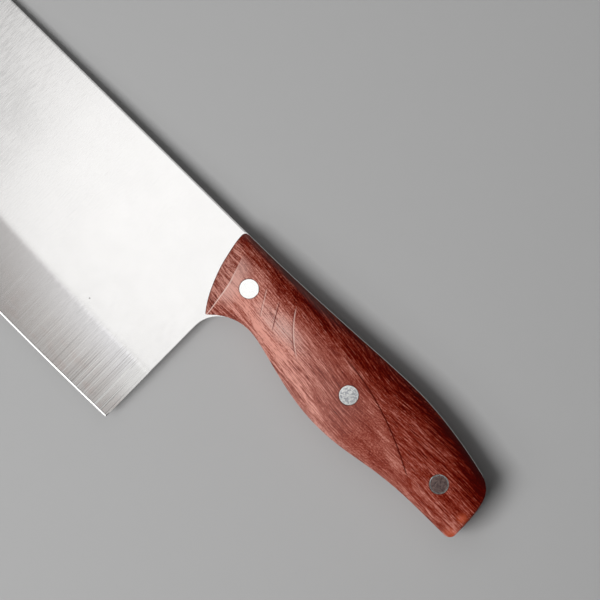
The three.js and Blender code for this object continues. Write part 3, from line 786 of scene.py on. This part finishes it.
class Field:
    """A node's output: a number, vector or colour that differs from place to place. Sums add nodes."""

    def __init__(self, socket):
        self.socket = socket

    def node(self, kind, inputs, output=0, **settings):
        return made(self.socket.id_data, kind, inputs, output, **settings)

    def math(self, operation, *others):
        return self.node("ShaderNodeMath", dict(enumerate((self, *others))), operation=operation)

    def __add__(self, other):
        return self.math("ADD", other)

    def __sub__(self, other):
        return self.math("SUBTRACT", other)

    def __rsub__(self, other):
        return self.math("MULTIPLY_ADD", -1.0, other)

    def __mul__(self, other):
        return self.math("MULTIPLY", other)

    def __abs__(self):
        return self.math("ABSOLUTE")

    __radd__, __rmul__ = __add__, __mul__

    def higher(self, other):
        return self.math("MAXIMUM", other)

    def lower(self, other):
        return self.math("MINIMUM", other)

    def vector(self, operation, other, output=0):
        return self.node("ShaderNodeVectorMath", {0: self, 1: other}, output, operation=operation)

    def gap(self, place):
        """Distance to a place."""
        return self.vector("DISTANCE", place, "Value")

    def axes(self):
        """The x, y and z of a vector."""
        split = add(self.socket.id_data, "ShaderNodeSeparateXYZ", {0: self})
        return [Field(socket) for socket in split.outputs]

    def ranged(self, low, high, to_low=0.0, to_high=1.0, smooth=True):
        """Goes from one value to another while this number goes from low to high."""
        inputs = {"Value": self, "From Min": low, "From Max": high, "To Min": to_low, "To Max": to_high}
        kind = "SMOOTHSTEP" if smooth else "LINEAR"
        return self.node("ShaderNodeMapRange", inputs, "Result", interpolation_type=kind)

    def between(self, start, full, last, end):
        """1 from full to last, falling to 0 at start and end."""
        return self.ranged(start, full) * self.ranged(end, last)

    def noise(self, x, y, z, detail=0.0, shift=(0, 0, 0), **inputs):
        """Noise with features about this many millimetres long, wide and deep."""
        place = {"Vector": self, "Scale": (1 / x, 1 / y, 1 / z), "Location": shift}
        inputs |= {"Vector": self.node("ShaderNodeMapping", place), "Scale": 1.0, "Detail": detail}
        return self.node("ShaderNodeTexNoise", inputs, "Fac")

    def swing(self, amount):
        """This noise as a change to either side, up to half the amount."""
        return (self - 0.5) * amount

    def mark(self, name):
        """A number kept on the points of the piece."""
        return self.node("ShaderNodeAttribute", {}, "Fac", attribute_name=name)

    def mixed(self, low, high):
        """Colour that goes from one to the other with this number."""
        return self.node("ShaderNodeMix", {0: self, 6: low, 7: high}, 2, data_type="RGBA")

    def bump(self, depth):
        """Normal of a surface with this relief, so many millimetres deep."""
        inputs = {"Height": self, "Distance": depth * MM, "Strength": 1.0}
        return self.node("ShaderNodeBump", inputs, "Normal")


# Rivets

RIVET_INPUTS = {
    "Place": "Vector",
    "Head Radius": "Float",
    "Edge Rounding": "Float",
    "Sink": "Float",
    "Flatness": "Float",
    "Seat": "Float",
    "Shank Radius": "Float",
    "Shank End": "Float",
    "Bore Radius": "Float",
    "Bore Floor": "Float",
    "Segments": "Int",
    "Wood": "Object",
    "Finish": "Material",
}


def rivet_tree():
    """One turned rivet half, set at its place and ground flush with the wood above it."""
    tree = bpy.data.node_groups.new("Flush rivet", "GeometryNodeTree")
    sockets = {}
    for name, kind in RIVET_INPUTS.items():
        socket = tree.interface.new_socket(name, in_out="INPUT", socket_type=f"NodeSocket{kind}")
        sockets[name] = socket.identifier
    tree.interface.new_socket("Rivet", in_out="OUTPUT", socket_type="NodeSocketGeometry")
    given = {socket.name: Field(socket) for socket in add(tree, "NodeGroupInput").outputs}

    # Radius and height of each row, from the middle of the face to the floor of the bore. Heights of
    # the face and its rim are measured from the wood.
    head, soft, seat = given["Head Radius"], given["Edge Rounding"], given["Seat"]
    shank, bore, floor = given["Shank Radius"], given["Bore Radius"], given["Bore Floor"]
    softer, edge = soft * 0.3, head - soft
    face = [(0.0, 0.0)] + [(head * share, 0.0) for share in (0.3, 0.6, 0.82)]
    face += [(edge - soft, 0.0), (edge, 0.0)]
    rim = [(head - softer, softer * -1.0), (head, soft * -1.0)]
    stem = [(head, seat), (shank, seat), (shank, given["Shank End"]), (bore, given["Shank End"])]
    profile = face + rim + stem + [(bore, floor), (0.0, floor)]

    # A grid is rolled up round the profile and set at the rivet's place.
    count = len(profile)
    sizes = {"Size X": 1.0, "Size Y": 1.0, "Vertices X": given["Segments"] + 1, "Vertices Y": count}
    grid = made(tree, "GeometryNodeMeshGrid", sizes, "Mesh")
    u, v, _ = made(tree, "GeometryNodeInputPosition").axes()
    turn = u * (-2 * math.pi)
    row = ((v + 0.5) * (count - 1)).math("ROUND")

    def by_row(values):
        """One value for each row of the profile."""
        switch = add(tree, "GeometryNodeIndexSwitch", {"Index": row}, data_type="FLOAT")
        while len(switch.index_switch_items) < count:
            switch.index_switch_items.new()
        set_inputs(switch, dict(enumerate(values, 1)))
        return Field(switch.outputs[0])

    radius, height = map(by_row, zip(*profile))
    ring = {0: radius * turn.math("COSINE"), 1: radius * turn.math("SINE"), 2: height}
    rows = {"Geometry": grid, "Name": "row", "Value": row}
    rows = made(tree, "GeometryNodeStoreNamedAttribute", rows, data_type="FLOAT")
    rolled = {"Geometry": rows, "Position": made(tree, "ShaderNodeCombineXYZ", ring)}
    turned = made(tree, "GeometryNodeSetPosition", rolled)
    place = made(tree, "GeometryNodePoints", {"Count": 1, "Position": given["Place"]})
    placed = made(tree, "GeometryNodeInstanceOnPoints", {"Points": place, "Instance": turned})
    whole = made(tree, "GeometryNodeRealizeInstances", {"Geometry": placed})

    # Each point of the head is dropped on the wood, from a place that is drawn towards the middle.
    wood = made(tree, "GeometryNodeObjectInfo", {"Object": given["Wood"]}, "Geometry")
    x, y, z = made(tree, "GeometryNodeInputPosition").axes()
    middle = given["Place"].axes()
    stored = made(tree, "GeometryNodeInputNamedAttribute", {"Name": "row"}, data_type="FLOAT")
    pull = stored.math("LESS_THAN", len(face) - 0.5) * given["Flatness"]
    above = {0: x + (middle[0] - x) * pull, 1: y + (middle[1] - y) * pull, 2: 1.0}
    above = made(tree, "ShaderNodeCombineXYZ", above)
    ray = {"Target Geometry": wood, "Source Position": above, "Ray Direction": (0, 0, -1), "Ray Length": 2.0}
    hit = made(tree, "GeometryNodeRaycast", ray, "Hit Position", data_type="FLOAT")
    level = hit.axes()[2] + z - given["Sink"]
    flush = {
        "Geometry": whole,
        "Selection": stored.math("LESS_THAN", len(face + rim) - 0.5),
        "Position": made(tree, "ShaderNodeCombineXYZ", {0: x, 1: y, 2: level}),
    }
    ground = made(tree, "GeometryNodeSetPosition", flush)
    closed = made(tree, "GeometryNodeMergeByDistance", {"Geometry": ground, "Distance": 1e-6})
    dressed = made(tree, "GeometryNodeSetMaterial", {"Geometry": closed, "Material": given["Finish"]})
    add(tree, "NodeGroupOutput", {"Rivet": dressed})
    return tree, sockets


# Finishes, drawn in millimetres


def start_material(name):
    """New material, its shader, and the place on the piece in millimetres from the drawing's origin."""
    material = bpy.data.materials.new(name)
    material.use_nodes = True
    tree = material.node_tree
    tree.nodes.clear()
    shader = add(tree, "ShaderNodeBsdfPrincipled")
    add(tree, "ShaderNodeOutputMaterial", {"Surface": Field(shader.outputs[0])})
    drawn = {
        "Vector": made(tree, "ShaderNodeTexCoord", output="Object"),
        "Location": -ORIGIN / MM,
        "Scale": (1 / MM, 1 / MM, 1 / MM),
    }
    return material, shader, made(tree, "ShaderNodeMapping", drawn)


def darker(shade, share):
    return tuple(share * channel for channel in shade)


def layered(shade, *layers):
    """A colour under layers, each with how much it covers and its own colour."""
    for cover, upper in layers:
        shade = cover.mixed(shade, upper)
    return shade


def metal(shade, rough, normal):
    """Inputs of a metal's shader."""
    return {"Base Color": shade, "Metallic": 1.0, "Roughness": rough, "Normal": normal}


def ramp(tone, stops):
    """Colour along a scale of stops, each a place and a colour."""
    scale = add(tone.socket.id_data, "ShaderNodeValToRGB", {0: tone})
    elements = scale.color_ramp.elements
    while len(elements) < len(stops):
        elements.new(0.5)
    for element, (place, shade) in zip(elements, stops):
        element.position = place
        element.color = (*shade, 1)
    return Field(scale.outputs["Color"])


def rivet_gap(flat):
    """How far a place is beyond the rim of the nearest rivet head."""
    gaps = [flat.gap((place.x / MM, place.y / MM, 0)) for place in RIVET_PLACES.values()]
    return gaps[0].lower(gaps[1]).lower(gaps[2]) - HEAD_RADIUS / MM


PIT = (-22.6, -55.5, HALF_STEEL / MM)


def steel_material(finish):
    """Satin steel brushed across the blade, with coarser lines on the bevel and a bright hone."""
    material, shader, spot = start_material("blade steel")
    x, y, _ = spot.axes()
    depth = spot.mark("ground")
    bevelled = depth.ranged(-0.03, 0.05)

    # The flat is brushed more plainly towards the tip, and is darker in a cloudy patch there.
    brush = spot.noise(0.34, 3.6, 3.6, detail=3)
    cloud = spot.noise(14, 10, 9, detail=2)
    brushed = brush.swing(3.0) * x.ranged(-25, -110, 0.3, 1.0)
    darker_patch = x.ranged(-62, -92) * y.ranged(-8, -28, 0.1, 1.0) * cloud.ranged(0.3, 0.6, -0.25, -0.6)
    lightness = 0.86 + brushed + cloud.swing(0.3) + darker_patch
    flat = lightness.mixed(darker(finish.steel, 0.74), finish.steel)

    # The bevel is darker towards the tip and warmer at the edge. Its lines are plainest at the heel.
    lined = x.ranged(-36, 4, 0.15, 1.0) * x.ranged(-6, 2).higher(depth.ranged(0.05, 0.6))
    dark_lines = spot.noise(0.27, 160, 160).ranged(0.38, 0.32, 0.0, 0.8) * lined
    coarse = spot.noise(0.27, 160, 160, shift=(3, 0, 0))
    light_lines = coarse.ranged(0.65, 0.71) * lined * depth.ranged(0.0, 0.3)
    # Painted highlight on the bevel's corner at the heel, which lies past the softbox's reflection
    heel_highlight = x.ranged(1, 9, 0.0, 0.8) * depth.ranged(0.85, 0.3)
    fine = spot.noise(0.3, 70, 70, detail=2)
    stain = spot.noise(9, 4, 9, detail=2, shift=(2, 1, 0))
    ground_dark = darker(finish.bevel, 0.62)
    bevel = layered(
        depth.ranged(0.0, 0.85).mixed(finish.bevel_top, finish.bevel),
        (stain.ranged(0.45, 0.7, 0.0, 0.6) * depth.ranged(0.35, 0.9), finish.bevel_stain),
        (x.ranged(5, -65, 0.0, 0.72), ground_dark),
        (fine.ranged(0.5, 0.3, 0.0, 0.2), ground_dark),
        (dark_lines, ground_dark),
        (light_lines.higher(heel_highlight), finish.bevel_bright),
    )
    shade = layered(
        flat,
        (bevelled, bevel),
        (spot.gap(PIT).ranged(0.36, 0.12, 0.0, 0.75), finish.pit),
        (spot.mark("honed"), finish.hone),
    )
    rough = brush.ranged(0.3, 0.7, 0.19, 0.25) - bevelled * 0.02
    set_inputs(shader, metal(shade, rough, brush.bump(0.002)))
    return material


# Middle and reach of each lighter or darker patch of the wood, and how much lighter it is; the dark one near
# the front of the underside is painted shade
PATCHES = (
    ((15.5, -7.6), (9.0, 3.2), 0.26),
    ((60.5, -7.8), (9.0, 3.2), 0.22),
    ((63.0, -27.0), (9.0, 2.6), 0.14),
    ((11.5, -24.3), (5.5, 3.2), -0.20),
    ((34.0, -19.5), (8.0, 2.6), -0.15),
    ((24.5, -15.0), (7.0, 4.5), -0.08),
)
# Middle, reach and strength of the patch of painted sheen on the grip
SHEEN_PATCH = ((32.5, -15.5), (16.0, 5.8), 0.5)

# Start, end, bend and width of each scratch, how plain the painted highlight on one side and the painted
# shade on the other are, and if the highlight is on the upper side
SCRATCHES = (
    ((19.3, -8.8), (25.3, -18.4), 0.10, 0.45, 0.5, 0.4, True),
    ((25.7, -8.9), (31.8, -19.4), 0.12, 0.55, 0.15, 0.9, False),
    ((31.2, -6.2), (45.6, -20.0), 1.40, 0.55, 0.6, 0.6, True),
)

# Middle and radius of each spot of wear at the butt, which also carries a painted highlight
BUTT_SPOTS = (((125.2, -18.5, 0), 2.4), ((126.0, -25.2, 0), 2.8))

# Where the streaky layer's lower edge starts to curve down, its level before that, and its bend
LAYER_START, LAYER_LEVEL, LAYER_BEND = 49.1, -6.74, 0.0055


def oval(flat, middle, reach, strength):
    """Soft oval patch on both faces of the handle, strongest in its middle."""
    away = flat.vector("SUBTRACT", (*middle, 0)).vector("MULTIPLY", (1 / reach[0], 1 / reach[1], 0))
    return away.gap((0, 0, 0)).ranged(1.0, 0.0, 0.0, strength)


def scratch(flat, start, end, bulge, width):
    """A slightly bent mark between two places on the handle: how deep, and how far to its upper side."""
    start, end = Vector(start), Vector(end)
    run = end - start
    ahead = run.normalized()
    radius = (run.length_squared / 4 + bulge**2) / (2 * bulge)
    hub = (start + end) / 2 + Vector((-ahead.y, ahead.x)) * (radius - bulge)
    forward = flat.vector("DOT_PRODUCT", (*ahead, 0), "Value") - ahead.dot(start)
    off = radius - flat.gap((*hub, 0))
    faded = forward.ranged(0, 0.15 * run.length) * forward.ranged(run.length, 0.75 * run.length)
    deep = abs(off).ranged(width, 0.25 * width) * faded
    return deep, off.ranged(-0.3 * width, 0.3 * width)


def wood_fields(spot):
    """Where a place lies on the handle, and the noises of the grain there."""
    x, y, z = spot.axes()
    flat = spot.vector("MULTIPLY", (1, 1, 0))

    # The grain runs along the handle, leans down towards the butt and wavers.
    sway = spot.noise(48, 30, 30, detail=1)
    ripple = spot.noise(15, 4, 12, detail=1)
    lift = x.ranged(0, 75, 0, 6.5, smooth=False) + sway.swing(6) + ripple.swing(0.8)
    grain = spot.vector("ADD", lift.node("ShaderNodeCombineXYZ", {"Y": lift}))
    streak = grain.noise(8, 0.32, 12)

    # The streaky layer lies above a line that runs level and then curves down to the underside.
    past = (x - LAYER_START).higher(0.0)
    over = y + past * past * LAYER_BEND - LAYER_LEVEL
    ragged = over + ripple.swing(5) + streak.swing(8)
    return SimpleNamespace(
        x=x,
        y=y,
        flat=flat,
        height=abs(z) - HALF_STEEL / MM,
        left=z.ranged(-1, 1),
        front=spot.mark("facet") * y.ranged(-3, -9),
        behind=spot.mark("behind") * y.between(-26, -20, -10, -5),
        crease=spot.mark("crease"),
        belly_gap=spot.mark("belly_gap"),
        over=over,
        streaky=ragged.ranged(-4.5, 2.0),
        grain_line=abs(over).ranged(0.34, 0.12) * x.between(54, 62, 98, 103),
        # Painted highlight: lighter towards the front of the grip below the spine; the same mask raises the
        # figure's contrast and pores there
        grip=x.ranged(64, 32, 0.0, 0.37, smooth=False) * y.ranged(-5.5, -17),
        # Painted sheen on the palm swell, which also raises the figure's contrast
        swell=x.between(36, 46, 66, 82) * y.ranged(-9, -19, 0.0, 0.09),
        sheen_patch=oval(flat, *SHEEN_PATCH),
        band=grain.noise(50, 2.6, 12, detail=2),
        streak=streak,
        fibre=grain.noise(2.2, 0.24, 5),
        speckle=spot.noise(0.5, 0.4, 2),
        pores=grain.noise(3.5, 0.24, 1.5, shift=(5, 3, 1)).ranged(0.60, 0.72),
    )


def wood_level(wood):
    """How light the wood is: painted shade darkens the spine side and, in part, the shoulder; painted
    highlight makes the front of the grip pale and lightens the lower edge and the butt's rim; painted shade
    darkens the underside near the front.
    """
    x, y, gap = wood.x, wood.y, wood.belly_gap
    # Painted shade: darker towards the spine side, which faces away from the key lamp
    spine_side = y.ranged(2.2, -7, 0.09, 0.37, smooth=False) + y.ranged(-7, -24, 0.0, 0.08, smooth=False)
    # Painted highlights along the lower edge, where its rounding faces the light
    belly_highlight = abs(gap - 3.3).ranged(2.6, 0.4, 0.0, 0.14) * x.between(24, 34, 56, 70)
    rear_rim_highlight = gap.ranged(3, 0.5, 0.0, 0.14) * x.ranged(56, 66)
    swell_rim_highlight = gap.ranged(4.5, 1, 0.0, 0.15) * x.between(53, 62, 70, 80)
    # Painted shade on the underside near the front
    beak_shade = gap.ranged(4, 0.6, 0.0, -0.26) * x.ranged(26, 18)
    brow = x.ranged(22, 6, 0.0, 0.14) * y.between(-11, -6, -4, 0.5)
    flame = abs(wood.over + 3).ranged(4, 0.5, 0.0, 0.12) * x.between(66, 76, 92, 102)
    # Painted highlight on the rounded rim of the butt
    butt_rim_highlight = x.ranged(122, 127, 0.0, 0.1)
    # Darker towards the shoulder at the rear, partly painted shade where the wood turns away from the light
    shoulder = (x + y * 1.6).ranged(86, 112, smooth=False)
    level = spine_side + wood.grip + belly_highlight + rear_rim_highlight + swell_rim_highlight + beak_shade + brow + flame + butt_rim_highlight
    for sizes in PATCHES:
        level = level + oval(wood.flat, *sizes)
    level = level + wood.behind * 0.14 - shoulder * shoulder * 0.44
    front_level = y.ranged(0, -6, 0.25, 0.58) + y.ranged(-9, -17, 0.0, 0.24) + y.ranged(-20, -27, 0.0, -0.22)
    return level + wood.front * (front_level - level)


def wood_tone(wood):
    """The level with its figure: streaks, fibres, pores and speckles."""
    figure = wood.band.swing(1.0) * (wood.grip * 1.3 + 0.4) + wood.streak.swing(0.8) + wood.fibre.swing(0.5)
    layers = wood.streaky.ranged(0, 1, 0.4, 1.0, smooth=False)
    contrast = layers + wood.grip * 2.1 + wood.front * 0.45 + wood.swell * 5.0
    porous = wood.pores * (wood.grip * 0.4 + 0.12)
    speckled = wood.speckle.swing(1.0) * (wood.sheen_patch + 0.45)
    return wood_level(wood) + figure * contrast - porous + speckled


def wood_material(finish):
    """Reddish hardwood: a streaky layer and a paler one, open pores and marks of use, with painted sheen,
    highlights and shade.
    """
    material, shader, spot = start_material("hardwood")
    wood = wood_fields(spot)
    stops = [
        (0.0, finish.wood_deep),
        (0.2, finish.wood_dark),
        (0.4, finish.wood_mid),
        (0.6, finish.wood_light),
        (0.9, finish.wood_pale),
    ]
    # Painted sheen on the front of the grip, behind the crease and on the palm swell, and a little on the
    # paler layer
    streaked_sheen = wood.sheen_patch * wood.streak.ranged(0.35, 0.65, 0.6, 1.7)
    sheen = streaked_sheen.higher(wood.behind * 0.38) + wood.swell + wood.streaky.ranged(1, 0, 0.0, 0.03)
    # Painted greyish sheen along the spine edge at the front of the grip
    spine_sheen = wood.y.ranged(-2.8, -0.8, 0.0, 0.6) * wood.x.ranged(52, 34)
    joint = wood.height.ranged(0.8, 0.1, 0.0, 0.45)
    dark = joint.higher(rivet_gap(wood.flat).ranged(0.4, 0.1, 0.0, 0.35))
    # Painted highlight along the lower part of the crease, which is also wear on the edge
    crease_wear_highlight = wood.crease * wood.y.ranged(-6, -20, 0.0, 0.9)
    body = layered(
        ramp(wood_tone(wood), stops),
        (sheen, finish.wood_sheen),
        (spine_sheen, finish.wood_spine_sheen),
        (dark, finish.wood_pore),
        (wood.grain_line * 0.9, finish.wood_deep),
        (crease_wear_highlight, finish.wood_wear_highlight),
    )
    # Spots of wear at the butt, lightened as a painted highlight
    for middle, size in BUTT_SPOTS:
        rubbed_and_lit = wood.flat.gap(middle) + wood.speckle.swing(3) + wood.streak.swing(3)
        body = rubbed_and_lit.ranged(size, 0.1 * size, 0.0, 0.45).mixed(body, finish.wood_butt_rubbed_lit)
    relief = wood.fibre * 0.5 - wood.pores * 0.8 - wood.grain_line
    groove = 0.0
    for *course, light, shadow, upper_light in SCRATCHES:
        deep, upper = scratch(wood.flat, *course)
        deep = deep * wood.left
        # Each scratch has a painted highlight on one side and painted shade on the other
        lit = upper if upper_light else 1.0 - upper
        shaded = deep * (1.0 - lit) * shadow
        body = layered(body, (shaded, finish.wood_dark), (deep * lit * light, finish.wood_wear_highlight))
        groove = deep.higher(groove)
    set_inputs(
        shader,
        {
            "Base Color": body,
            "Roughness": wood.streak.ranged(0.3, 0.7, 0.40, 0.52),
            "Specular IOR Level": 0.04,
            "Normal": (relief - groove * 1.5).bump(0.05),
        },
    )
    return material


def rivet_material(finish):
    """Ground rivet steel: a bright front head, a mottled middle one and a brown rear one."""
    material, shader, spot = start_material("rivet steel")
    x, _, _ = spot.axes()
    mottle = spot.noise(0.9, 1.1, 2, detail=2, Roughness=0.6, Distortion=0.6)
    fine = spot.noise(2.5, 0.14, 2, detail=2)
    rear = x.ranged(80, 95)
    uneven = x.ranged(30, 50, 0.1, 1.0)
    face = rivet_gap(spot.vector("MULTIPLY", (1, 1, 0))).ranged(-0.3, -0.6)
    stained = mottle.ranged(0.58, 0.42) * face * x.ranged(30, 50, 0.03, 0.7) * (1.0 - rear * 0.8)
    shade = layered(
        stained.mixed(finish.rivet, finish.rivet_stain),
        (rear * face, finish.rivet_brown),
    )
    rough = 0.21 - mottle.swing(0.25) * uneven
    relief = (fine * 0.4 + mottle) * uneven
    set_inputs(shader, metal(shade, rough, relief.bump(0.005)))
    return material


def floor_material(stage):
    """Plain pale floor."""
    material, shader, spot = start_material("pale floor")
    shade = spot.noise(6, 6, 6, detail=3).mixed(darker(stage.floor, 0.985), stage.floor)
    set_inputs(shader, {"Base Color": shade, "Roughness": 0.85})
    return material


# Operators


class CLEAVER_OT_blade(bpy.types.Operator):
    """Make the blade and its tang from one plate of steel, ground and honed on both sides"""

    bl_idname = "cleaver.blade"
    bl_label = "Blade"
    bl_options = {"REGISTER", "UNDO"}

    def execute(self, context):
        scene = context.scene
        mesh = steel_mesh(scene.cleaver_blade, scene.cleaver_handle, scene.cleaver_rivets)
        piece = make_object("ground_blade", mesh)
        finish_piece(piece, steel_material(scene.cleaver_finish), "blade_steel", "blade")
        return {"FINISHED"}


class CLEAVER_OT_scales(bpy.types.Operator):
    """Make the two hardwood scales, shaped, drilled and mirrored"""

    bl_idname = "cleaver.scales"
    bl_label = "Scales"
    bl_options = {"REGISTER", "UNDO"}

    def execute(self, context):
        scene = context.scene
        handle = scene.cleaver_handle
        blank = make_object("scale_blank", scale_mesh(handle, "scale_blank"))
        bits = make_object("drill_bits", drill_bits(handle, scene.cleaver_rivets))
        cut = blank.modifiers.new("Drill", "BOOLEAN")
        cut.operation = "DIFFERENCE"
        cut.solver = "EXACT"
        cut.object = bits
        wood = wood_material(scene.cleaver_finish)
        for side in ("left", "right"):
            mesh = baked(blank)
            mesh.name = f"{side}_wood"
            if side == "right":
                mirrored(mesh)
            soften(mesh, WOOD_SHARP)
            mark_front(mesh, handle)
            piece = make_object(f"{side}_wood_scale", mesh)
            finish_piece(piece, wood, "hardwood", f"{side}_scale")
        for helper in (blank, bits):
            bpy.data.objects.remove(helper)
        return {"FINISHED"}


class CLEAVER_OT_rivets(bpy.types.Operator):
    """Turn the six rivet halves and grind their heads flush with the wood"""

    bl_idname = "cleaver.rivets"
    bl_label = "Rivets"
    bl_options = {"REGISTER", "UNDO"}

    def execute(self, context):
        scene = context.scene
        handle, rivets = scene.cleaver_handle, scene.cleaver_rivets
        tree, sockets = rivet_tree()
        wood = make_object("flush_guide", scale_mesh(handle, "flush_guide"))
        steel = rivet_material(scene.cleaver_finish)
        shank, pin = rivets.shank_diameter / 2, rivets.pin_diameter / 2
        for name, place in RIVET_PLACES.items():
            seat = seat_height(handle, rivets, place.x)
            shank_end = rivets.shank_gap - seat
            pin_end = rivets.socket_floor + rivets.pin_gap - seat
            halves = {
                "socket": (shank, shank_end, pin + rivets.clearance, seat - rivets.socket_floor),
                "pin": (pin, pin_end, 0.0, pin_end),
            }
            for half, (stem, stem_end, bore, bore_floor) in halves.items():
                values = {
                    "Place": (place.x + ORIGIN.x, place.y + ORIGIN.y, 0.0),
                    "Head Radius": HEAD_RADIUS,
                    "Edge Rounding": rivets.edge_round,
                    "Sink": rivets.sink,
                    "Flatness": rivets.flatness,
                    "Seat": seat + ORIGIN.z,
                    "Shank Radius": stem,
                    "Shank End": stem_end + ORIGIN.z,
                    "Bore Radius": bore,
                    "Bore Floor": bore_floor + ORIGIN.z,
                    "Segments": rivets.segments,
                    "Wood": wood,
                    "Finish": steel,
                }
                piece = make_object(f"{name}_rivet_{half}_turned", bpy.data.meshes.new(f"{name}_{half}"))
                lathe = piece.modifiers.new("Lathe", "NODES")
                lathe.node_group = tree
                for key, value in values.items():
                    lathe[sockets[key]] = value
                mesh = baked(piece)
                mesh.name = f"{name}_rivet_{half}"
                piece.modifiers.clear()
                piece.data = mesh
                if half == "pin":
                    mirrored(mesh)
                soften(mesh, RIVET_SHARP)
                finish_piece(piece, steel, "rivet_steel", f"{name}_rivet_{half}")
        bpy.data.objects.remove(wood)
        return {"FINISHED"}


class CLEAVER_OT_stage(bpy.types.Operator):
    """Lay the cleaver on a pale floor under soft lamps and set the camera over it"""

    bl_idname = "cleaver.stage"
    bl_label = "Stage"
    bl_options = {"REGISTER", "UNDO"}

    def execute(self, context):
        scene = context.scene
        stage = scene.cleaver_stage
        scene.view_settings.view_transform = "Standard"
        self.lay_floor(stage)
        scene.camera = self.overhead_camera(stage)
        self.hang_lamps(stage)
        scene.world = self.pale_room(stage)
        return {"FINISHED"}

    def lay_floor(self, stage):
        """The knife rests on the end of its blade and on the front of the lower scale."""
        steps, clear = 96, 0.02 * MM
        tip = Vector((BLADE_LOW.x, 0, BLADE_LOW.z))
        low = [v.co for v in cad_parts["right_scale"].data.vertices]
        fall = max((tip.z - p.z) / (p.x - tip.x) for p in low)
        x, y = arc((0, 0), stage.floor_radius, 0, 2 * math.pi, steps)[:-1].T
        points = np.column_stack([x, y, tip.z - fall * (x - tip.x) - clear])
        mesh = bpy.data.meshes.new("floor")
        mesh.from_pydata(points.tolist(), [], [tuple(range(steps))])
        mesh.materials.append(floor_material(stage))
        make_object("floor", mesh)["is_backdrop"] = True

    def overhead_camera(self, stage):
        camera = bpy.data.cameras.new("overhead camera")
        camera.sensor_width = 36
        camera.lens = camera.sensor_width * stage.distance / stage.view_width
        camera.clip_end = 20
        holder = make_object("overhead camera", camera)
        holder.location = ORIGIN + Vector((stage.view_x, stage.view_y, HALF_STEEL + stage.distance))
        holder.rotation_euler = (0, 0, stage.view_turn)
        return holder

    def hang_lamps(self, stage):
        # Power of each lamp, its place, target and size in millimetres, its shape, and if steel mirrors it
        lamps = {
            "ceiling panel": (stage.ceiling, (-130, 85, 520), (-130, 85, 0), (400, 490), "RECTANGLE", True),
            "softbox": (stage.softbox, (-27, -17, 480), (-27, -17, 0), (224, 200), "ELLIPSE", True),
            "key": (stage.key, (-60, -430, 980), (0, -20, 0), (430, 430), "RECTANGLE", False),
            "low fill": (stage.fill, (-150, -850, 800), (0, -20, 0), (600, 300), "RECTANGLE", True),
        }
        for name, (power, spot, target, size, shape, in_steel) in lamps.items():
            light = bpy.data.lights.new(name, "AREA")
            light.energy = power
            light.shape = shape
            light.size, light.size_y = size[0] * MM, size[1] * MM
            lamp = make_object(name, light)
            lamp.location = ORIGIN + Vector(spot) * MM
            aim = Vector(target) - Vector(spot)
            lamp.rotation_euler = aim.to_track_quat("-Z", "Y").to_euler()
            lamp.visible_camera = False
            lamp.visible_glossy = in_steel

    def pale_room(self, stage):
        """Dim light all round, and pale walls up to a darker ceiling that only eye and steel see."""
        world = bpy.data.worlds.new("pale room")
        world.use_nodes = True
        tree = world.node_tree
        ray = add(tree, "ShaderNodeLightPath").outputs
        seen = Field(ray["Is Camera Ray"]) + Field(ray["Is Glossy Ray"])
        height = made(tree, "ShaderNodeTexCoord", output="Generated").axes()[2]
        wall = height.ranged(0.94, 0.75, 0.0, stage.walls - stage.world)
        lit = {"Color": (1, 1, 1), "Strength": seen * wall + stage.world}
        set_inputs(tree.nodes["Background"], lit)
        return world


class CLEAVER_PT_workshop(bpy.types.Panel):
    """Pieces of the cleaver, in the order in which they are made"""

    bl_idname = "CLEAVER_PT_workshop"
    bl_label = "Riveted cleaver"
    bl_space_type = "VIEW_3D"
    bl_region_type = "UI"
    bl_category = "Cleaver"

    def draw(self, context):
        layout = self.layout
        for operator in OPERATORS:
            layout.operator(operator.bl_idname)
        for name in GROUPS:
            settings = getattr(context.scene, name)
            box = layout.box()
            box.label(text=name.replace("_", " ").capitalize())
            for prop in settings.bl_rna.properties:
                if prop.identifier not in {"rna_type", "name"}:
                    box.prop(settings, prop.identifier)


OPERATORS = (CLEAVER_OT_blade, CLEAVER_OT_scales, CLEAVER_OT_rivets, CLEAVER_OT_stage)
GROUPS = {
    "cleaver_blade": CLEAVER_PG_blade,
    "cleaver_handle": CLEAVER_PG_handle,
    "cleaver_rivets": CLEAVER_PG_rivets,
    "cleaver_finish": CLEAVER_PG_finish,
    "cleaver_stage": CLEAVER_PG_stage,
}
CLASSES = (*GROUPS.values(), *OPERATORS, CLEAVER_PT_workshop)


def register():
    for cls in CLASSES:
        bpy.utils.register_class(cls)
    for name, group in GROUPS.items():
        setattr(bpy.types.Scene, name, PointerProperty(type=group))


def unregister():
    for name in GROUPS:
        delattr(bpy.types.Scene, name)
    for cls in reversed(CLASSES):
        bpy.utils.unregister_class(cls)


def main():
    register()
    bpy.ops.cleaver.blade()
    bpy.ops.cleaver.scales()
    bpy.ops.cleaver.rivets()
    bpy.ops.cleaver.stage()
    boxes = {"cad": CAD_BOX, "visual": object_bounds()}
    {name: [list(corner) for corner in box] for name, box in boxes.items()}


if __name__ == "__main__":
    main()
